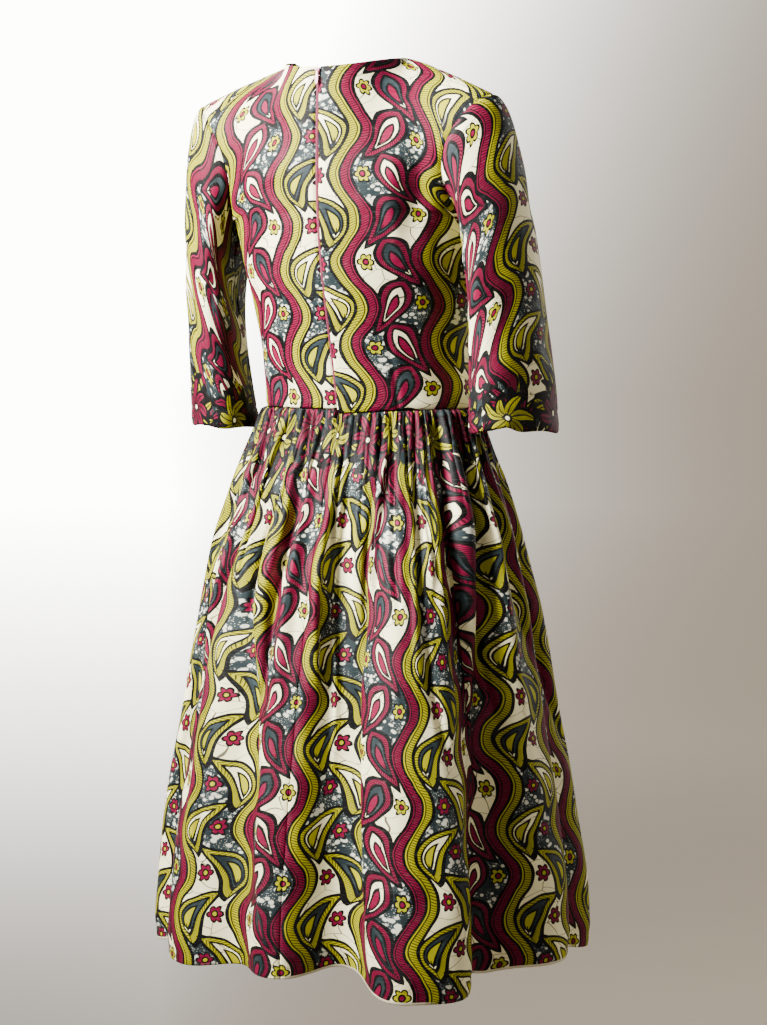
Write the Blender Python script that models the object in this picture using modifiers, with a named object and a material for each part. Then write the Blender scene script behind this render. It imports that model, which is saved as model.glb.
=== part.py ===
"""A knee-length wax-print cotton dress in the shape that it is worn in, hollow, with its zip.

Metres, +Z up. The origin lies midway between the two shoulder seams, at the level of their neck ends.
-Y is the wearer's front and +X the wearer's left. Each cut piece of cloth is its own closed wall.
Run it with: blender --background --python part.py
"""

import math
from collections import namedtuple

import bmesh
import bpy
import numpy as np
from mathutils import Matrix

# Driving dimensions
CLOTH = 0.0014  # thickness of the bodice and sleeve walls
SKIRT_CLOTH = 0.0018  # a little more, as it is measured across the gathers' slopes
SEAM_GAP = 0.0003  # between two pieces at a seam
NECK_HALF_WIDTH = 0.073
NECK_END_Y = -0.014  # the neck ends of the shoulder seams stand this far forward of their tips
SHOULDER_TIP = 0.182  # from the centre to the armhole, along X
SHOULDER_DROP = 0.045
WAIST_Z = -0.400
WAIST_CENTRE_Y = -0.065  # the waist stands this far in front of the shoulders
WAIST_HALF_WIDTH = 0.130
WAIST_STEP = 0.0055  # the right back's waist seam meets the zip this much lower than the left's
WAIST_STEP_REACH = 0.65  # share of the right back over which it rises again
HEM_DROP = 0.632  # skirt length below the waist seam
ZIP_OPENING = 0.0020  # between the two back edges, where the zip chain shows
ZIP_END_DROP = 0.100  # the zip runs this far below the waist seam

# Bodice sections, from the waist up to the top edge. centre_ is the point on the centre line of the
# panel, end_ the point on the side seam and wrap the angle that the section turns through.
Section = namedtuple("Section", "centre_z centre_y wrap")
BACK_SECTIONS = (
    Section(WAIST_Z, 0.0275, 90),
    Section(-0.355, 0.037, 90),
    Section(-0.310, 0.050, 90),
    Section(-0.262, 0.064, 90),
    Section(-0.217, 0.073, 88),
    Section(-0.178, 0.0775, 84),
    Section(-0.158, 0.079, 76),
    Section(-0.132, 0.080, 68),
    Section(-0.100, 0.0805, 62),
    Section(-0.070, 0.080, 57),
    Section(-0.040, 0.078, 53),
    Section(-0.014, 0.0745, 50),
)
FRONT_SECTIONS = (
    Section(WAIST_Z, -0.160, 90),
    Section(-0.355, -0.163, 90),
    Section(-0.310, -0.167, 90),
    Section(-0.262, -0.172, 90),
    Section(-0.220, -0.172, 88),
    Section(-0.190, -0.165, 84),
    Section(-0.172, -0.158, 78),
    Section(-0.153, -0.149, 72),
    Section(-0.130, -0.135, 66),
    Section(-0.108, -0.117, 60),
    Section(-0.090, -0.098, 55),
    Section(-0.078, -0.082, 50),
)
SideSeam = namedtuple("SideSeam", "x y z")
SIDE_SEAM = (
    SideSeam(WAIST_HALF_WIDTH, WAIST_CENTRE_Y, WAIST_Z),
    SideSeam(0.1305, -0.063, -0.355),
    SideSeam(0.133, -0.058, -0.310),
    SideSeam(0.140, -0.050, -0.262),
    SideSeam(0.1475, -0.039, -0.222),
)
UNDERARM = len(SIDE_SEAM)  # row of the section tables that ends at the underarm
TOP = len(BACK_SECTIONS) - 1
TURN_ROW = 7  # above this row the cloth turns over the shoulder
BACK_ROUNDNESS = 0.85
FRONT_ROUNDNESS = 0.45
NECK_SHARE = 0.42  # share of a back or front half's top edge that is neckline

# Armhole, an oval seam round the shoulder: angle 0 at the shoulder tip, 90 at the back, 180 underarm
ARMHOLE_HALF_HEIGHT = 0.0725
ARMHOLE_HALF_WIDTH = 0.056
ARMHOLE_LEAN_X = 0.015  # the shoulder tip stands further out than the underarm
ARMHOLE_SCOOP = 0.030  # the seam curves in towards the neck at front and back
ARMHOLE_FORWARD = 0.0125

# Bust shaping that the darts give the front
BUST = dict(x=0.080, z=-0.238, rise=0.012, half_width=0.052, half_height=0.056)

# Sleeve: an oval tube from the armhole down to the cuff
CUFF_CENTRE = (0.188, -0.052, -0.425)
CUFF_LONG = 0.060  # half sizes of the cuff's oval
CUFF_SHORT = 0.040
CUFF_TURN = math.radians(25)  # the oval's long side points forwards and this far outwards
SleeveLead = namedtuple("SleeveLead", "x y z length")
TOP_LEAD = SleeveLead(1.0, 0.0, -0.35, 0.11)  # how the sleeve leaves the armhole at the shoulder
UNDER_LEAD = SleeveLead(0.50, 0.0, -1.0, 0.15)  # and under the arm
SLEEVE_STEPS = 12
SLEEVE_SIDES = 24

# Skirt rings: drop below the waist, half width, half depth behind and in front of the centre
Ring = namedtuple("Ring", "drop half_width back front")
RINGS = (
    Ring(0.000, WAIST_HALF_WIDTH, 0.0925, 0.095),
    Ring(0.040, 0.137, 0.103, 0.101),
    Ring(0.080, 0.146, 0.116, 0.110),
    Ring(0.150, 0.163, 0.139, 0.127),
    Ring(0.230, 0.178, 0.159, 0.145),
    Ring(0.350, 0.194, 0.178, 0.168),
    Ring(0.485, 0.212, 0.196, 0.190),
    Ring(0.600, 0.222, 0.207, 0.204),
    Ring(HEM_DROP, 0.219, 0.205, 0.203),
)
# How strongly each size of fold stands out at each drop below the waist, in metres or as a share
Swell = namedtuple("Swell", "drop gathers middle_folds hem_share")
SWELLS = (
    Swell(0.000, 0.0028, 0.0000, 0.00),
    Swell(0.006, 0.0046, 0.0006, 0.00),
    Swell(0.018, 0.0056, 0.0026, 0.01),
    Swell(0.035, 0.0050, 0.0062, 0.03),
    Swell(0.060, 0.0034, 0.0100, 0.07),
    Swell(0.095, 0.0016, 0.0128, 0.15),
    Swell(0.140, 0.0003, 0.0126, 0.27),
    Swell(0.200, 0.0000, 0.0098, 0.43),
    Swell(0.270, 0.0000, 0.0064, 0.59),
    Swell(0.350, 0.0000, 0.0036, 0.73),
    Swell(0.440, 0.0000, 0.0018, 0.86),
    Swell(0.530, 0.0000, 0.0006, 0.96),
    Swell(HEM_DROP, 0.0000, 0.0000, 1.00),
)
# Hem folds. angle runs from the centre back towards the wearer's right, reach is half the crest's
# width, depth how far it stands out, spread how far its top bulges over its sides and dip how far
# its hem hangs below the rest.
Fold = namedtuple("Fold", "angle reach depth spread dip squareness")
HEM_FOLDS = (
    Fold(-147, 14.5, 0.040, 0.003, 0.000, 2.6),
    Fold(-109, 13.5, 0.046, 0.003, 0.003, 2.6),
    Fold(-71, 11.5, 0.042, 0.003, 0.013, 2.6),
    Fold(-37, 13.0, 0.043, 0.004, 0.006, 3.0),
    Fold(-3, 10.0, 0.036, 0.002, 0.000, 2.4),
    Fold(14, 8.0, -0.006, 0.000, -0.010, 2.0),
    Fold(37, 13.0, 0.066, 0.015, 0.014, 4.0),
    Fold(61, 6.0, -0.006, 0.000, 0.006, 2.0),
    Fold(82, 14.0, 0.040, 0.003, 0.000, 2.6),
    Fold(115, 12.5, 0.045, 0.003, 0.013, 2.6),
    Fold(148, 13.0, 0.038, 0.003, 0.000, 2.6),
    Fold(181, 12.0, 0.047, 0.004, 0.003, 2.6),
)
SKIRT_PIECES = (
    ("skirt_back_right", 0, 90),
    ("skirt_front", 90, 270),
    ("skirt_back_left", -90, 0),
)
GATHERS = 72  # little gathers round the waist seam, two columns of points each
MIDDLE_FOLDS = 27  # folds that the gathers run into below the waist

# Zip
ZIP_TAPE_HALF_WIDTH = 0.0095
ZIP_TAPE_THICKNESS = 0.0007
ZIP_CHAIN_HALF_WIDTH = 0.0006
ZIP_CHAIN_RISE = 0.0012  # the chain stands this far up into the opening
ZIP_CLEAR = 0.0006  # from the cloth's inside to the tape
ZIP_CALM = math.radians(9)  # the tape keeps folds away from the centre back by about this angle
SLIDER_HEIGHT = 0.0085
SLIDER_HALF_WIDTH = 0.0032
SLIDER_BELOW_NECK = 0.0018
SLIDER_FOOT = 0.0008  # thickness of its plate inside the cloth
LUG_HALF_GAP = 0.00155  # between the two ears that hold the pull's pin
LUG_WIDTH = 0.0009
PIN_RISE = 0.0019  # the pin's centre above the cloth
PIN_RADIUS = 0.00045
PULL_LENGTH = 0.0170
PULL_HALF_WIDTH = 0.0022
PULL_THICKNESS = 0.0009
KNUCKLE_RADIUS = 0.00105
KNUCKLE_BORE = 0.00065
KNUCKLE_HALF_LENGTH = 0.00125


def unit(vectors):
    """The same vectors at length one."""
    return vectors / np.maximum(np.linalg.norm(vectors, axis=-1, keepdims=True), 1e-12)


def smooth_rows(values, at):
    """Catmull-Rom curve through a column of a table, read at fractional row numbers."""
    values = np.asarray(values, float)
    padded = np.concatenate([[2 * values[0] - values[1]], values, [2 * values[-1] - values[-2]]])
    row = np.clip(np.floor(at).astype(int), 0, len(values) - 2)
    t = at - row
    before, here, after, later = (padded[row + k] for k in range(4))
    return 0.5 * (
        2 * here
        + (after - before) * t
        + (2 * before - 5 * here + 4 * after - later) * t**2
        + (3 * here - before - 3 * after + later) * t**3
    )


def column(table, name):
    """One named column of a table."""
    return np.array([getattr(row, name) for row in table])


def armhole(angle):
    """Point of the wearer's left armhole seam at an angle in radians."""
    cos, sin = np.cos(angle), np.sin(angle)
    middle_x = SHOULDER_TIP - ARMHOLE_LEAN_X
    x = middle_x + ARMHOLE_LEAN_X * cos - ARMHOLE_SCOOP * sin**2
    y = -ARMHOLE_FORWARD * (1 - cos) + ARMHOLE_HALF_WIDTH * sin
    z = -SHOULDER_DROP - ARMHOLE_HALF_HEIGHT * (1 - cos)
    return np.stack([x, y, z], axis=-1)


def side_edge(rows, back):
    """End point of each bodice row: the side seam, then the armhole from the underarm to the tip."""
    share = np.clip((rows - UNDERARM) / (TOP - UNDERARM), 0, 1)
    angle = math.pi * (1 - share) if back else math.pi * (1 + share)
    on_armhole = armhole(angle)
    underarm = armhole(np.array(math.pi))
    seam = [np.append(column(SIDE_SEAM, axis), underarm[k]) for k, axis in enumerate("xyz")]
    on_side = np.stack([smooth_rows(c, np.minimum(rows, UNDERARM)) for c in seam], axis=-1)
    return np.where((rows > UNDERARM)[..., None], on_armhole, on_side)


def top_edge(across, neck_y, neck_z):
    """Neckline from the centre line to the shoulder seam's neck end, then that seam to the tip."""
    turn = np.clip(across / NECK_SHARE, 0, 1) * math.pi / 2
    along = np.clip((across - NECK_SHARE) / (1 - NECK_SHARE), 0, 1)
    x = NECK_HALF_WIDTH * np.sin(turn) + (SHOULDER_TIP - NECK_HALF_WIDTH) * along
    y = NECK_END_Y * (1 - along) + (neck_y - NECK_END_Y) * np.cos(turn)
    z = neck_z * np.cos(turn) ** 1.5 - SHOULDER_DROP * along**1.15
    return np.stack([x, y, z], axis=-1)


def row_arc(across, centre_y, centre_z, end, wrap):
    """Part of an oval from the centre line to a row's end point, level where it leaves the centre."""
    x = end[..., 0] * np.sin(across * wrap) / np.sin(wrap)
    turn = (1 - np.cos(across * wrap)) / (1 - np.cos(wrap))
    y = centre_y + (end[..., 1] - centre_y) * turn
    z = centre_z + (end[..., 2] - centre_z) * across**2
    return np.stack([x, y, z], axis=-1)


def section_points(across, rows, sections, back):
    """Points of a bodice half on its sections alone, before its top turns over the shoulder."""
    centre_z = smooth_rows(column(sections, "centre_z"), rows)
    centre_y = smooth_rows(column(sections, "centre_y"), rows)
    wrap = np.radians(smooth_rows(column(sections, "wrap"), rows))
    return row_arc(across, centre_y, centre_z, side_edge(rows, back), wrap)


def bodice_half(across, rows, sections, back, corner=True):
    """Points of one half of the back or front on a grid of shares across and section rows."""
    roundness = BACK_ROUNDNESS if back else FRONT_ROUNDNESS
    turned = np.clip((rows - TURN_ROW) / (TOP - TURN_ROW), 0, 1)
    # A quarter turn from upright to level, mixed with a straight slope
    inwards = roundness * (1 - np.cos(turned * math.pi / 2)) + (1 - roundness) * turned
    upwards = roundness * np.sin(turned * math.pi / 2) + (1 - roundness) * turned
    weights = np.stack([turned, inwards, upwards], axis=-1)
    start = section_points(across, np.full_like(rows, TURN_ROW), sections, back)
    edge_start = side_edge(np.full_like(rows, TURN_ROW), back)
    edge_plain = edge_start + weights * (armhole(np.zeros_like(rows)) - edge_start)
    last = sections[-1]
    over = start + weights * (top_edge(across, last.centre_y, last.centre_z) - start)
    over = over + (across**3)[..., None] * (side_edge(rows, back) - edge_plain)
    below = section_points(across, rows, sections, back)
    points = np.where((rows > TURN_ROW)[..., None], over, below)
    if corner:
        smooth_neck_corner(points, across, rows)
    if not back:
        away = ((points[..., 0] - BUST["x"]) / BUST["half_width"]) ** 2
        away = away + ((points[..., 2] - BUST["z"]) / BUST["half_height"]) ** 2
        # Where the armhole, side seam and waist hold the cloth, the bust adds nothing
        free = np.clip((1 - across) * 5, 0, 1) * np.clip(rows / 2, 0, 1)
        points[..., 1] -= BUST["rise"] * np.exp(-away) * free
    return points


def smooth_neck_corner(points, across, rows):
    """Relax the grid near the corner where neckline and shoulder seam meet, its edges kept."""
    away = ((across - NECK_SHARE) / 0.17) ** 2 + ((rows - TOP) / 1.8) ** 2
    share = 0.9 * np.exp(-away)[1:-1, 1:-1, None]
    for _ in range(14):
        across_mean = (points[1:-1, :-2] + points[1:-1, 2:]) / 2
        along_mean = (points[:-2, 1:-1] + points[2:, 1:-1]) / 2
        points[1:-1, 1:-1] += share * ((across_mean + along_mean) / 2 - points[1:-1, 1:-1])


def bodice_rows():
    """Section rows: six steps up the side seam, then twelve round half the armhole."""
    below = np.linspace(0, UNDERARM, 7)[:-1]
    return np.concatenate([below, np.linspace(UNDERARM, TOP, 13)])


def bodice_columns():
    """Shares across a half, with a column where the neckline meets the shoulder seam."""
    neck = np.linspace(0, NECK_SHARE, 8)[:-1]
    return np.concatenate([neck, np.linspace(NECK_SHARE, 1, 6)])


def waist_step(across):
    """How much lower the right back's waist seam is, at shares from the zip to the side seam."""
    return WAIST_STEP * np.clip(1 - across / WAIST_STEP_REACH, 0, 1) ** 1.5


def back_panel(side):
    """Back bodice half. side is 1 for the wearer's left and -1 for the right."""
    across, rows = np.meshgrid(bodice_columns(), bodice_rows())
    points = bodice_half(across, rows, BACK_SECTIONS, back=True)
    points[..., 0] += ZIP_OPENING / 2 * np.clip(1 - across / NECK_SHARE, 0, 1) ** 2
    if side < 0:
        points[..., 2] -= waist_step(across) * np.clip(1 - rows / 2, 0, 1)
    return points * (side, 1, 1)


def front_panel():
    """Front bodice in one piece, from the wearer's right side to the left."""
    across, rows = np.meshgrid(bodice_columns(), bodice_rows())
    half = bodice_half(across, rows, FRONT_SECTIONS, back=False)
    return np.concatenate([(half * (-1, 1, 1))[:, :0:-1], half], axis=1)


def sleeve_tube(side):
    """Sleeve: rails from the armhole to the cuff, each leaving along its lead and ending downwards."""
    angle = np.arange(SLEEVE_SIDES) * 2 * math.pi / SLEEVE_SIDES
    share, angle = np.meshgrid(np.linspace(0, 1, SLEEVE_STEPS + 1), angle, indexing="ij")
    share = share[..., None]
    cos, sin = np.cos(angle)[..., None], np.sin(angle)[..., None]
    start = armhole(angle)
    outwards = np.array([math.cos(CUFF_TURN), math.sin(CUFF_TURN), 0])
    backwards = np.array([-math.sin(CUFF_TURN), math.cos(CUFF_TURN), 0])
    end = np.array(CUFF_CENTRE) + CUFF_SHORT * cos * outwards + CUFF_LONG * sin * backwards
    over = (1 + cos) / 2  # 1 at the shoulder, 0 under the arm
    lead = over * np.array(TOP_LEAD[:3]) + (1 - over) * np.array(UNDER_LEAD[:3])
    lead = lead + sin * np.array([0.25, 0.15, 0.0]) * np.where(sin > 0, 1, (-1, 1, 1))
    lead = lead * (over * TOP_LEAD.length + (1 - over) * UNDER_LEAD.length)
    reach = np.linalg.norm(end - start, axis=-1, keepdims=True)
    finish = np.array([0.0, -0.10, -0.80]) * reach
    points = (
        (2 * share**3 - 3 * share**2 + 1) * start
        + (share**3 - 2 * share**2 + share) * lead
        + (3 * share**2 - 2 * share**3) * end
        + (share**3 - share**2) * finish
    )
    return points * (side, 1, 1)


def fold_shape(angle, drop):
    """How far the skirt stands out from its rings, and sideways along them, in metres."""
    drops = column(SWELLS, "drop")
    gathers, middle, hem = (
        np.interp(drop, drops, column(SWELLS, name)) for name in Swell._fields[1:]
    )
    step = np.round((angle % (2 * math.pi)) / (math.pi / GATHERS)).astype(int)
    uneven = 1 + 0.3 * np.sin(step * 2.39) + 0.15 * np.sin(step * 5.71)
    out = gathers * (step % 2) * uneven
    centre = (angle + math.pi) % (2 * math.pi) - math.pi
    calm = 1 - np.exp(-((centre / ZIP_CALM) ** 2))
    calm = calm + (1 - calm) * np.clip((drop - ZIP_END_DROP) / 0.1, 0, 1)
    out = out * calm
    wander = 0.9 * np.sin(3 * angle + 1.0) + 0.6 * np.sin(7 * angle + 0.4)
    wave = 0.5 - 0.5 * np.cos(MIDDLE_FOLDS * angle + wander)
    out = out + middle * calm * wave**1.3 * (1 + 0.35 * np.sin(5 * angle + 2.0))
    along = np.zeros_like(out)
    dip = np.zeros_like(out)
    for fold in HEM_FOLDS:
        away = np.degrees(angle) - fold.angle
        away = ((away + 180) % 360 - 180) / fold.reach
        crest = np.exp(-np.abs(away) ** fold.squareness)
        out = out + hem * fold.depth * crest
        along = along + hem * fold.spread * away * crest
        dip = dip + fold.dip * crest
    return out, along, dip


def skirt_points(angle, drop):
    """Points of the skirt. angle runs from the centre back towards the wearer's right."""
    drops = column(RINGS, "drop")
    row = np.interp(drop, drops, np.arange(len(RINGS)))
    half_width, back, front = (
        smooth_rows(column(RINGS, name), row) for name in Ring._fields[1:]
    )
    depth = np.where(np.cos(angle) > 0, back, front)
    sin, cos = np.sin(angle), np.cos(angle)
    out_dir = unit(np.stack([-sin / half_width, cos / depth, np.zeros_like(sin)], axis=-1))
    along_dir = np.stack([-out_dir[..., 1], out_dir[..., 0], np.zeros_like(sin)], axis=-1)
    out, along, dip = fold_shape(angle, drop)
    z = WAIST_Z - drop - dip * (drop / HEM_DROP) ** 2
    ring = np.stack([-half_width * sin, WAIST_CENTRE_Y + depth * cos, z], axis=-1)
    return ring + out[..., None] * out_dir + along[..., None] * along_dir, out_dir


def skirt_panels():
    """Points and wall offsets of the three skirt pieces, cut from one ring of columns."""
    columns = 2 * GATHERS
    step = 360 / columns
    angle, drop = np.meshgrid(
        np.radians(np.arange(columns) * step - 180), column(SWELLS, "drop")
    )
    ring, out_dir = skirt_points(angle, drop)
    normals = panel_normals(ring, closed=True)
    normals = normals * np.sign(np.sum(normals * out_dir, axis=-1, keepdims=True))
    on_right = (angle > -1e-6) & (angle < math.pi / 2 + 1e-6)
    lowered = waist_step(angle / (math.pi / 2)) * np.exp(-((drop / 0.04) ** 2))
    for name, first, last in SKIRT_PIECES:
        at = np.arange(round((first + 180) / step), round((last + 180) / step) + 1) % columns
        points = ring[:, at].copy()
        if name == "skirt_back_right":
            points[..., 2] -= np.where(on_right, lowered, 0)[:, at]
        yield name, points, -normals[:, at] * SKIRT_CLOTH


def panel_normals(points, closed):
    """Unit normals of a grid of points, by central differences."""
    if closed:
        across = np.roll(points, -1, axis=1) - np.roll(points, 1, axis=1)
    else:
        across = np.gradient(points, axis=1)
    return unit(np.cross(across, np.gradient(points, axis=0)))


def joined_inwards(panels):
    """Inward offset of every point. Pieces that share a seam point share its direction, as a mitre."""
    totals = {}
    for points, normals in panels.values():
        for place, normal in zip(points.reshape(-1, 3), normals.reshape(-1, 3)):
            key = tuple(np.round(place, 5))
            totals[key] = totals.get(key, 0) + normal
    offsets, spreads = {}, {}
    for name, (points, normals) in panels.items():
        keys = [tuple(np.round(place, 5)) for place in points.reshape(-1, 3)]
        shared = unit(np.array([totals[key] for key in keys]).reshape(points.shape))
        square = np.sum(shared * normals, axis=-1, keepdims=True)
        # Under the arm the cloth doubles back, and there each wall keeps its own direction
        mitred = np.clip((square - 0.3) / 0.3, 0, 1)
        inwards = -unit(mitred * shared + (1 - mitred) * normals)
        square = np.sum(-inwards * normals, axis=-1, keepdims=True)
        offsets[name] = inwards * CLOTH / np.maximum(square, 0.5)
        spreads[name] = inwards * (1 - mitred) * SEAM_GAP
    return offsets, spreads


def drawn_back(points, offsets, seams, gap=SEAM_GAP):
    """Shift that opens half the seam gap along the named edges of a grid: first, last, left, right."""
    shift = np.zeros_like(points)
    edges = {
        "first": (0, 1, False),
        "last": (-1, -2, False),
        "left": (0, 1, True),
        "right": (-1, -2, True),
    }
    for name in seams:
        edge, next_in, turned = edges[name]
        grid, lines, moved = (
            a.transpose(1, 0, 2) if turned else a for a in (points, offsets, shift)
        )
        along = np.gradient(grid[edge], axis=0)
        sideways = unit(np.cross(along, lines[edge]))
        inside = np.sum(sideways * (grid[next_in] - grid[edge]), axis=-1, keepdims=True)
        moved[edge] += sideways * np.where(inside < 0, -1, 1) * gap / 2
    return shift


def make_object(name, vertices, faces, material):
    """A mesh object in the dress collection, with its material and smooth shading."""
    mesh = bpy.data.meshes.new(name)
    mesh.from_pydata([tuple(v) for v in vertices], [], faces)
    mesh.materials.append(material)
    mesh.shade_smooth()
    mesh.set_sharp_from_angle(angle=math.radians(50))
    obj = bpy.data.objects.new(name, mesh)
    dress.objects.link(obj)
    return obj


def cloth_wall(name, outer, offsets, material, closed=False):
    """Loft a grid of points into a closed wall, from its outer face to that face moved by offsets."""
    rows, columns = outer.shape[:2]
    inner = outer + offsets
    vertices = np.concatenate([outer.reshape(-1, 3), inner.reshape(-1, 3)])
    number = np.arange(rows * columns).reshape(rows, columns)
    if closed:
        number = np.concatenate([number, number[:, :1]], axis=1)
    under = number + rows * columns
    faces = grid_faces(number) + grid_faces(under[::-1])
    faces += grid_faces(np.stack([under[0], number[0]]))
    faces += grid_faces(np.stack([number[-1], under[-1]]))
    if not closed:
        faces += grid_faces(np.stack([under[:, 0], number[:, 0]], axis=1))
        faces += grid_faces(np.stack([number[:, -1], under[:, -1]], axis=1))
    obj = make_object(name, vertices, faces, material)
    turn_outwards(obj)
    return obj


def grid_faces(number):
    """Quads of a grid of vertex numbers."""
    corners = (number[:-1, :-1], number[:-1, 1:], number[1:, 1:], number[1:, :-1])
    return np.stack([c.ravel() for c in corners], axis=1).tolist()


def turn_outwards(obj):
    """Make every face of a closed mesh point outwards."""
    shape = bmesh.new()
    shape.from_mesh(obj.data)
    bmesh.ops.recalc_face_normals(shape, faces=shape.faces)
    if shape.calc_volume(signed=True) < 0:
        bmesh.ops.reverse_faces(shape, faces=shape.faces)
    shape.to_mesh(obj.data)
    shape.free()


def surface_material(name, colour, roughness, metallic=0.0):
    """A Principled material with the part's own colour."""
    material = bpy.data.materials.new(name)
    material.use_nodes = True
    shader = material.node_tree.nodes["Principled BSDF"]
    shader.inputs["Base Color"].default_value = (*colour, 1)
    shader.inputs["Roughness"].default_value = roughness
    shader.inputs["Metallic"].default_value = metallic
    return material


def make_bodice_and_sleeves(cloth):
    """Front, two backs and two sleeves, which share their seam points."""
    panels = {"bodice_front": front_panel()}
    for name, side in (("left", 1), ("right", -1)):
        panels[f"bodice_back_{name}"] = back_panel(side)
        panels[f"sleeve_{name}"] = sleeve_tube(side)
    with_normals = {}
    for name, points in panels.items():
        normals = panel_normals(points, closed=name.startswith("sleeve"))
        # Outwards is away from the body's or the sleeve's own middle line
        middle = points.mean(axis=1, keepdims=True)
        if name.startswith("bodice"):
            middle = np.array([0, WAIST_CENTRE_Y / 2, 0]) * np.ones_like(middle)
            middle[..., 2] = points[..., 2].mean(axis=1, keepdims=True) - 0.1
        facing = np.sum(normals * (points - middle))
        with_normals[name] = (points, normals * (1 if facing > 0 else -1))
    offsets, spreads = joined_inwards(with_normals)
    for name, points in panels.items():
        closed = name.startswith("sleeve")
        seams = ["first"] if closed else ["first", "left", "right"]
        if closed:
            shift = sleeve_shift(points, offsets[name])
        else:
            shift = drawn_back(points, offsets[name], seams)
            shift += shoulder_shift(points, offsets[name])
        cloth_wall(name, points + shift + spreads[name], offsets[name], cloth, closed)


def sleeve_shift(points, offsets):
    """Half the seam gap at the sleeve's armhole ring, which closes on itself."""
    shift = np.zeros_like(points)
    along = np.roll(points[0], -1, axis=0) - np.roll(points[0], 1, axis=0)
    sideways = unit(np.cross(along, offsets[0]))
    inside = np.sum(sideways * (points[1] - points[0]), axis=-1, keepdims=True)
    shift[0] = sideways * np.where(inside < 0, -1, 1) * SEAM_GAP / 2
    return shift


def shoulder_shift(points, offsets):
    """Half the seam gap along the shoulder seam, the top edge without its neckline."""
    shift = drawn_back(points, offsets, ["last"])
    shift[:-1] = 0
    on_neck = np.abs(points[-1, :, 0]) < NECK_HALF_WIDTH - 1e-6
    shift[-1, on_neck] = 0
    return shift


def make_skirt(cloth):
    """Front skirt and two back skirts, gathered to the waist."""
    for name, points, offsets in skirt_panels():
        shift = drawn_back(points, offsets, ["first", "left", "right"])
        cloth_wall(name, points + shift, offsets, cloth)


def back_line(z):
    """Y of the cloth's outer face on the centre back line at a height, from neck to below the waist."""
    rows = bodice_rows()
    line = bodice_half(np.zeros_like(rows), rows, BACK_SECTIONS, back=True, corner=False)
    drop = np.maximum(WAIST_Z - z, 0)
    skirt = skirt_points(np.zeros_like(drop), drop)[0][..., 1]
    return np.where(z < WAIST_Z, skirt, np.interp(z, line[:, 2], line[:, 1]))


def make_zip_chain(material):
    """Zip tape inside the back opening, with the closed chain standing up into the opening."""
    top = BACK_SECTIONS[-1].centre_z - SLIDER_BELOW_NECK - SLIDER_HEIGHT - 2 * SEAM_GAP
    z = np.concatenate(
        [
            np.linspace(top, WAIST_Z + 0.005, 16),
            np.linspace(WAIST_Z + 0.001, WAIST_Z - ZIP_END_DROP + 0.004, 8),
        ]
    )
    # Below the waist the tape lies behind the lowered right skirt piece as well
    deep = np.where(z > WAIST_Z + 0.002, CLOTH, 1.1 * SKIRT_CLOTH + 0.35 * WAIST_STEP)
    inside = back_line(z) - deep - ZIP_CLEAR
    rise = np.where(z > WAIST_Z + 0.002, ZIP_CHAIN_RISE, 0.0001)
    # The tape stays clear of the cloth that curves away to each side
    fall = 0.0016
    wide, narrow = ZIP_TAPE_HALF_WIDTH, ZIP_CHAIN_HALF_WIDTH
    thick = ZIP_TAPE_THICKNESS
    profile = (
        (-wide, -fall - thick, 0),
        (-wide, -fall, 0),
        (-narrow, 0, 0),
        (-narrow, 0, 1),
        (narrow, 0, 1),
        (narrow, 0, 0),
        (wide, -fall, 0),
        (wide, -fall - thick, 0),
        (0, -thick, 0),
    )
    rings = [
        np.stack([np.full_like(z, x), inside + y + up * rise, z], axis=-1) for x, y, up in profile
    ]
    points = np.stack(rings, axis=1)
    rows, sides = points.shape[:2]
    number = np.arange(rows * sides).reshape(rows, sides)
    faces = grid_faces(np.concatenate([number, number[:, :1]], axis=1))
    faces += [number[0].tolist(), number[-1][::-1].tolist()]
    obj = make_object("zip_chain", points.reshape(-1, 3), faces, material)
    turn_outwards(obj)
    # The end faces are hollow outlines, so they are cut into triangles that stay inside them
    shape = bmesh.new()
    shape.from_mesh(obj.data)
    ends = [f for f in shape.faces if len(f.verts) > 4]
    bmesh.ops.triangulate(shape, faces=ends, ngon_method="EAR_CLIP")
    shape.to_mesh(obj.data)
    shape.free()
    obj.data.shade_flat()


def box(name, centre, size, collection, bevel=0.0):
    """A box from the cube primitive, with its edges rounded."""
    bpy.ops.mesh.primitive_cube_add(size=1, location=centre)
    obj = bpy.context.object
    obj.name = name
    obj.data.name = name
    obj.scale = size
    bpy.ops.object.transform_apply(location=False, rotation=False, scale=True)
    if bevel:
        rounding = obj.modifiers.new("Rounded edges", "BEVEL")
        rounding.width = bevel
        rounding.segments = 2
    move_to(obj, collection)
    return obj


def rod(name, centre, radius, length, collection, sides=16):
    """A cylinder along X."""
    bpy.ops.mesh.primitive_cylinder_add(
        vertices=sides, radius=radius, depth=length, location=centre, rotation=(0, math.pi / 2, 0)
    )
    obj = bpy.context.object
    obj.name = name
    obj.data.name = name
    move_to(obj, collection)
    return obj


def move_to(obj, collection):
    """Put an object in one collection only."""
    for old in obj.users_collection:
        old.objects.unlink(obj)
    collection.objects.link(obj)


def combine(target, tool, operation):
    """Boolean of a helper with a target. The helper isn't rendered."""
    tool.hide_render = True
    tool.display_type = "WIRE"
    change = target.modifiers.new(tool.name, "BOOLEAN")
    change.operation = operation
    change.solver = "EXACT"
    change.object = tool


def slider_frame():
    """Matrix that puts the slider's own axes on the cloth: Z up the back and Y out of the cloth."""
    z = BACK_SECTIONS[-1].centre_z - SLIDER_BELOW_NECK - SLIDER_HEIGHT / 2
    ends = back_line(np.array([z - SLIDER_HEIGHT / 2, z + SLIDER_HEIGHT / 2]))
    tilt = math.atan2(ends[0] - ends[1], SLIDER_HEIGHT)
    return Matrix.Translation((0, ends.mean(), z)) @ Matrix.Rotation(tilt, 4, "X")


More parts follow.
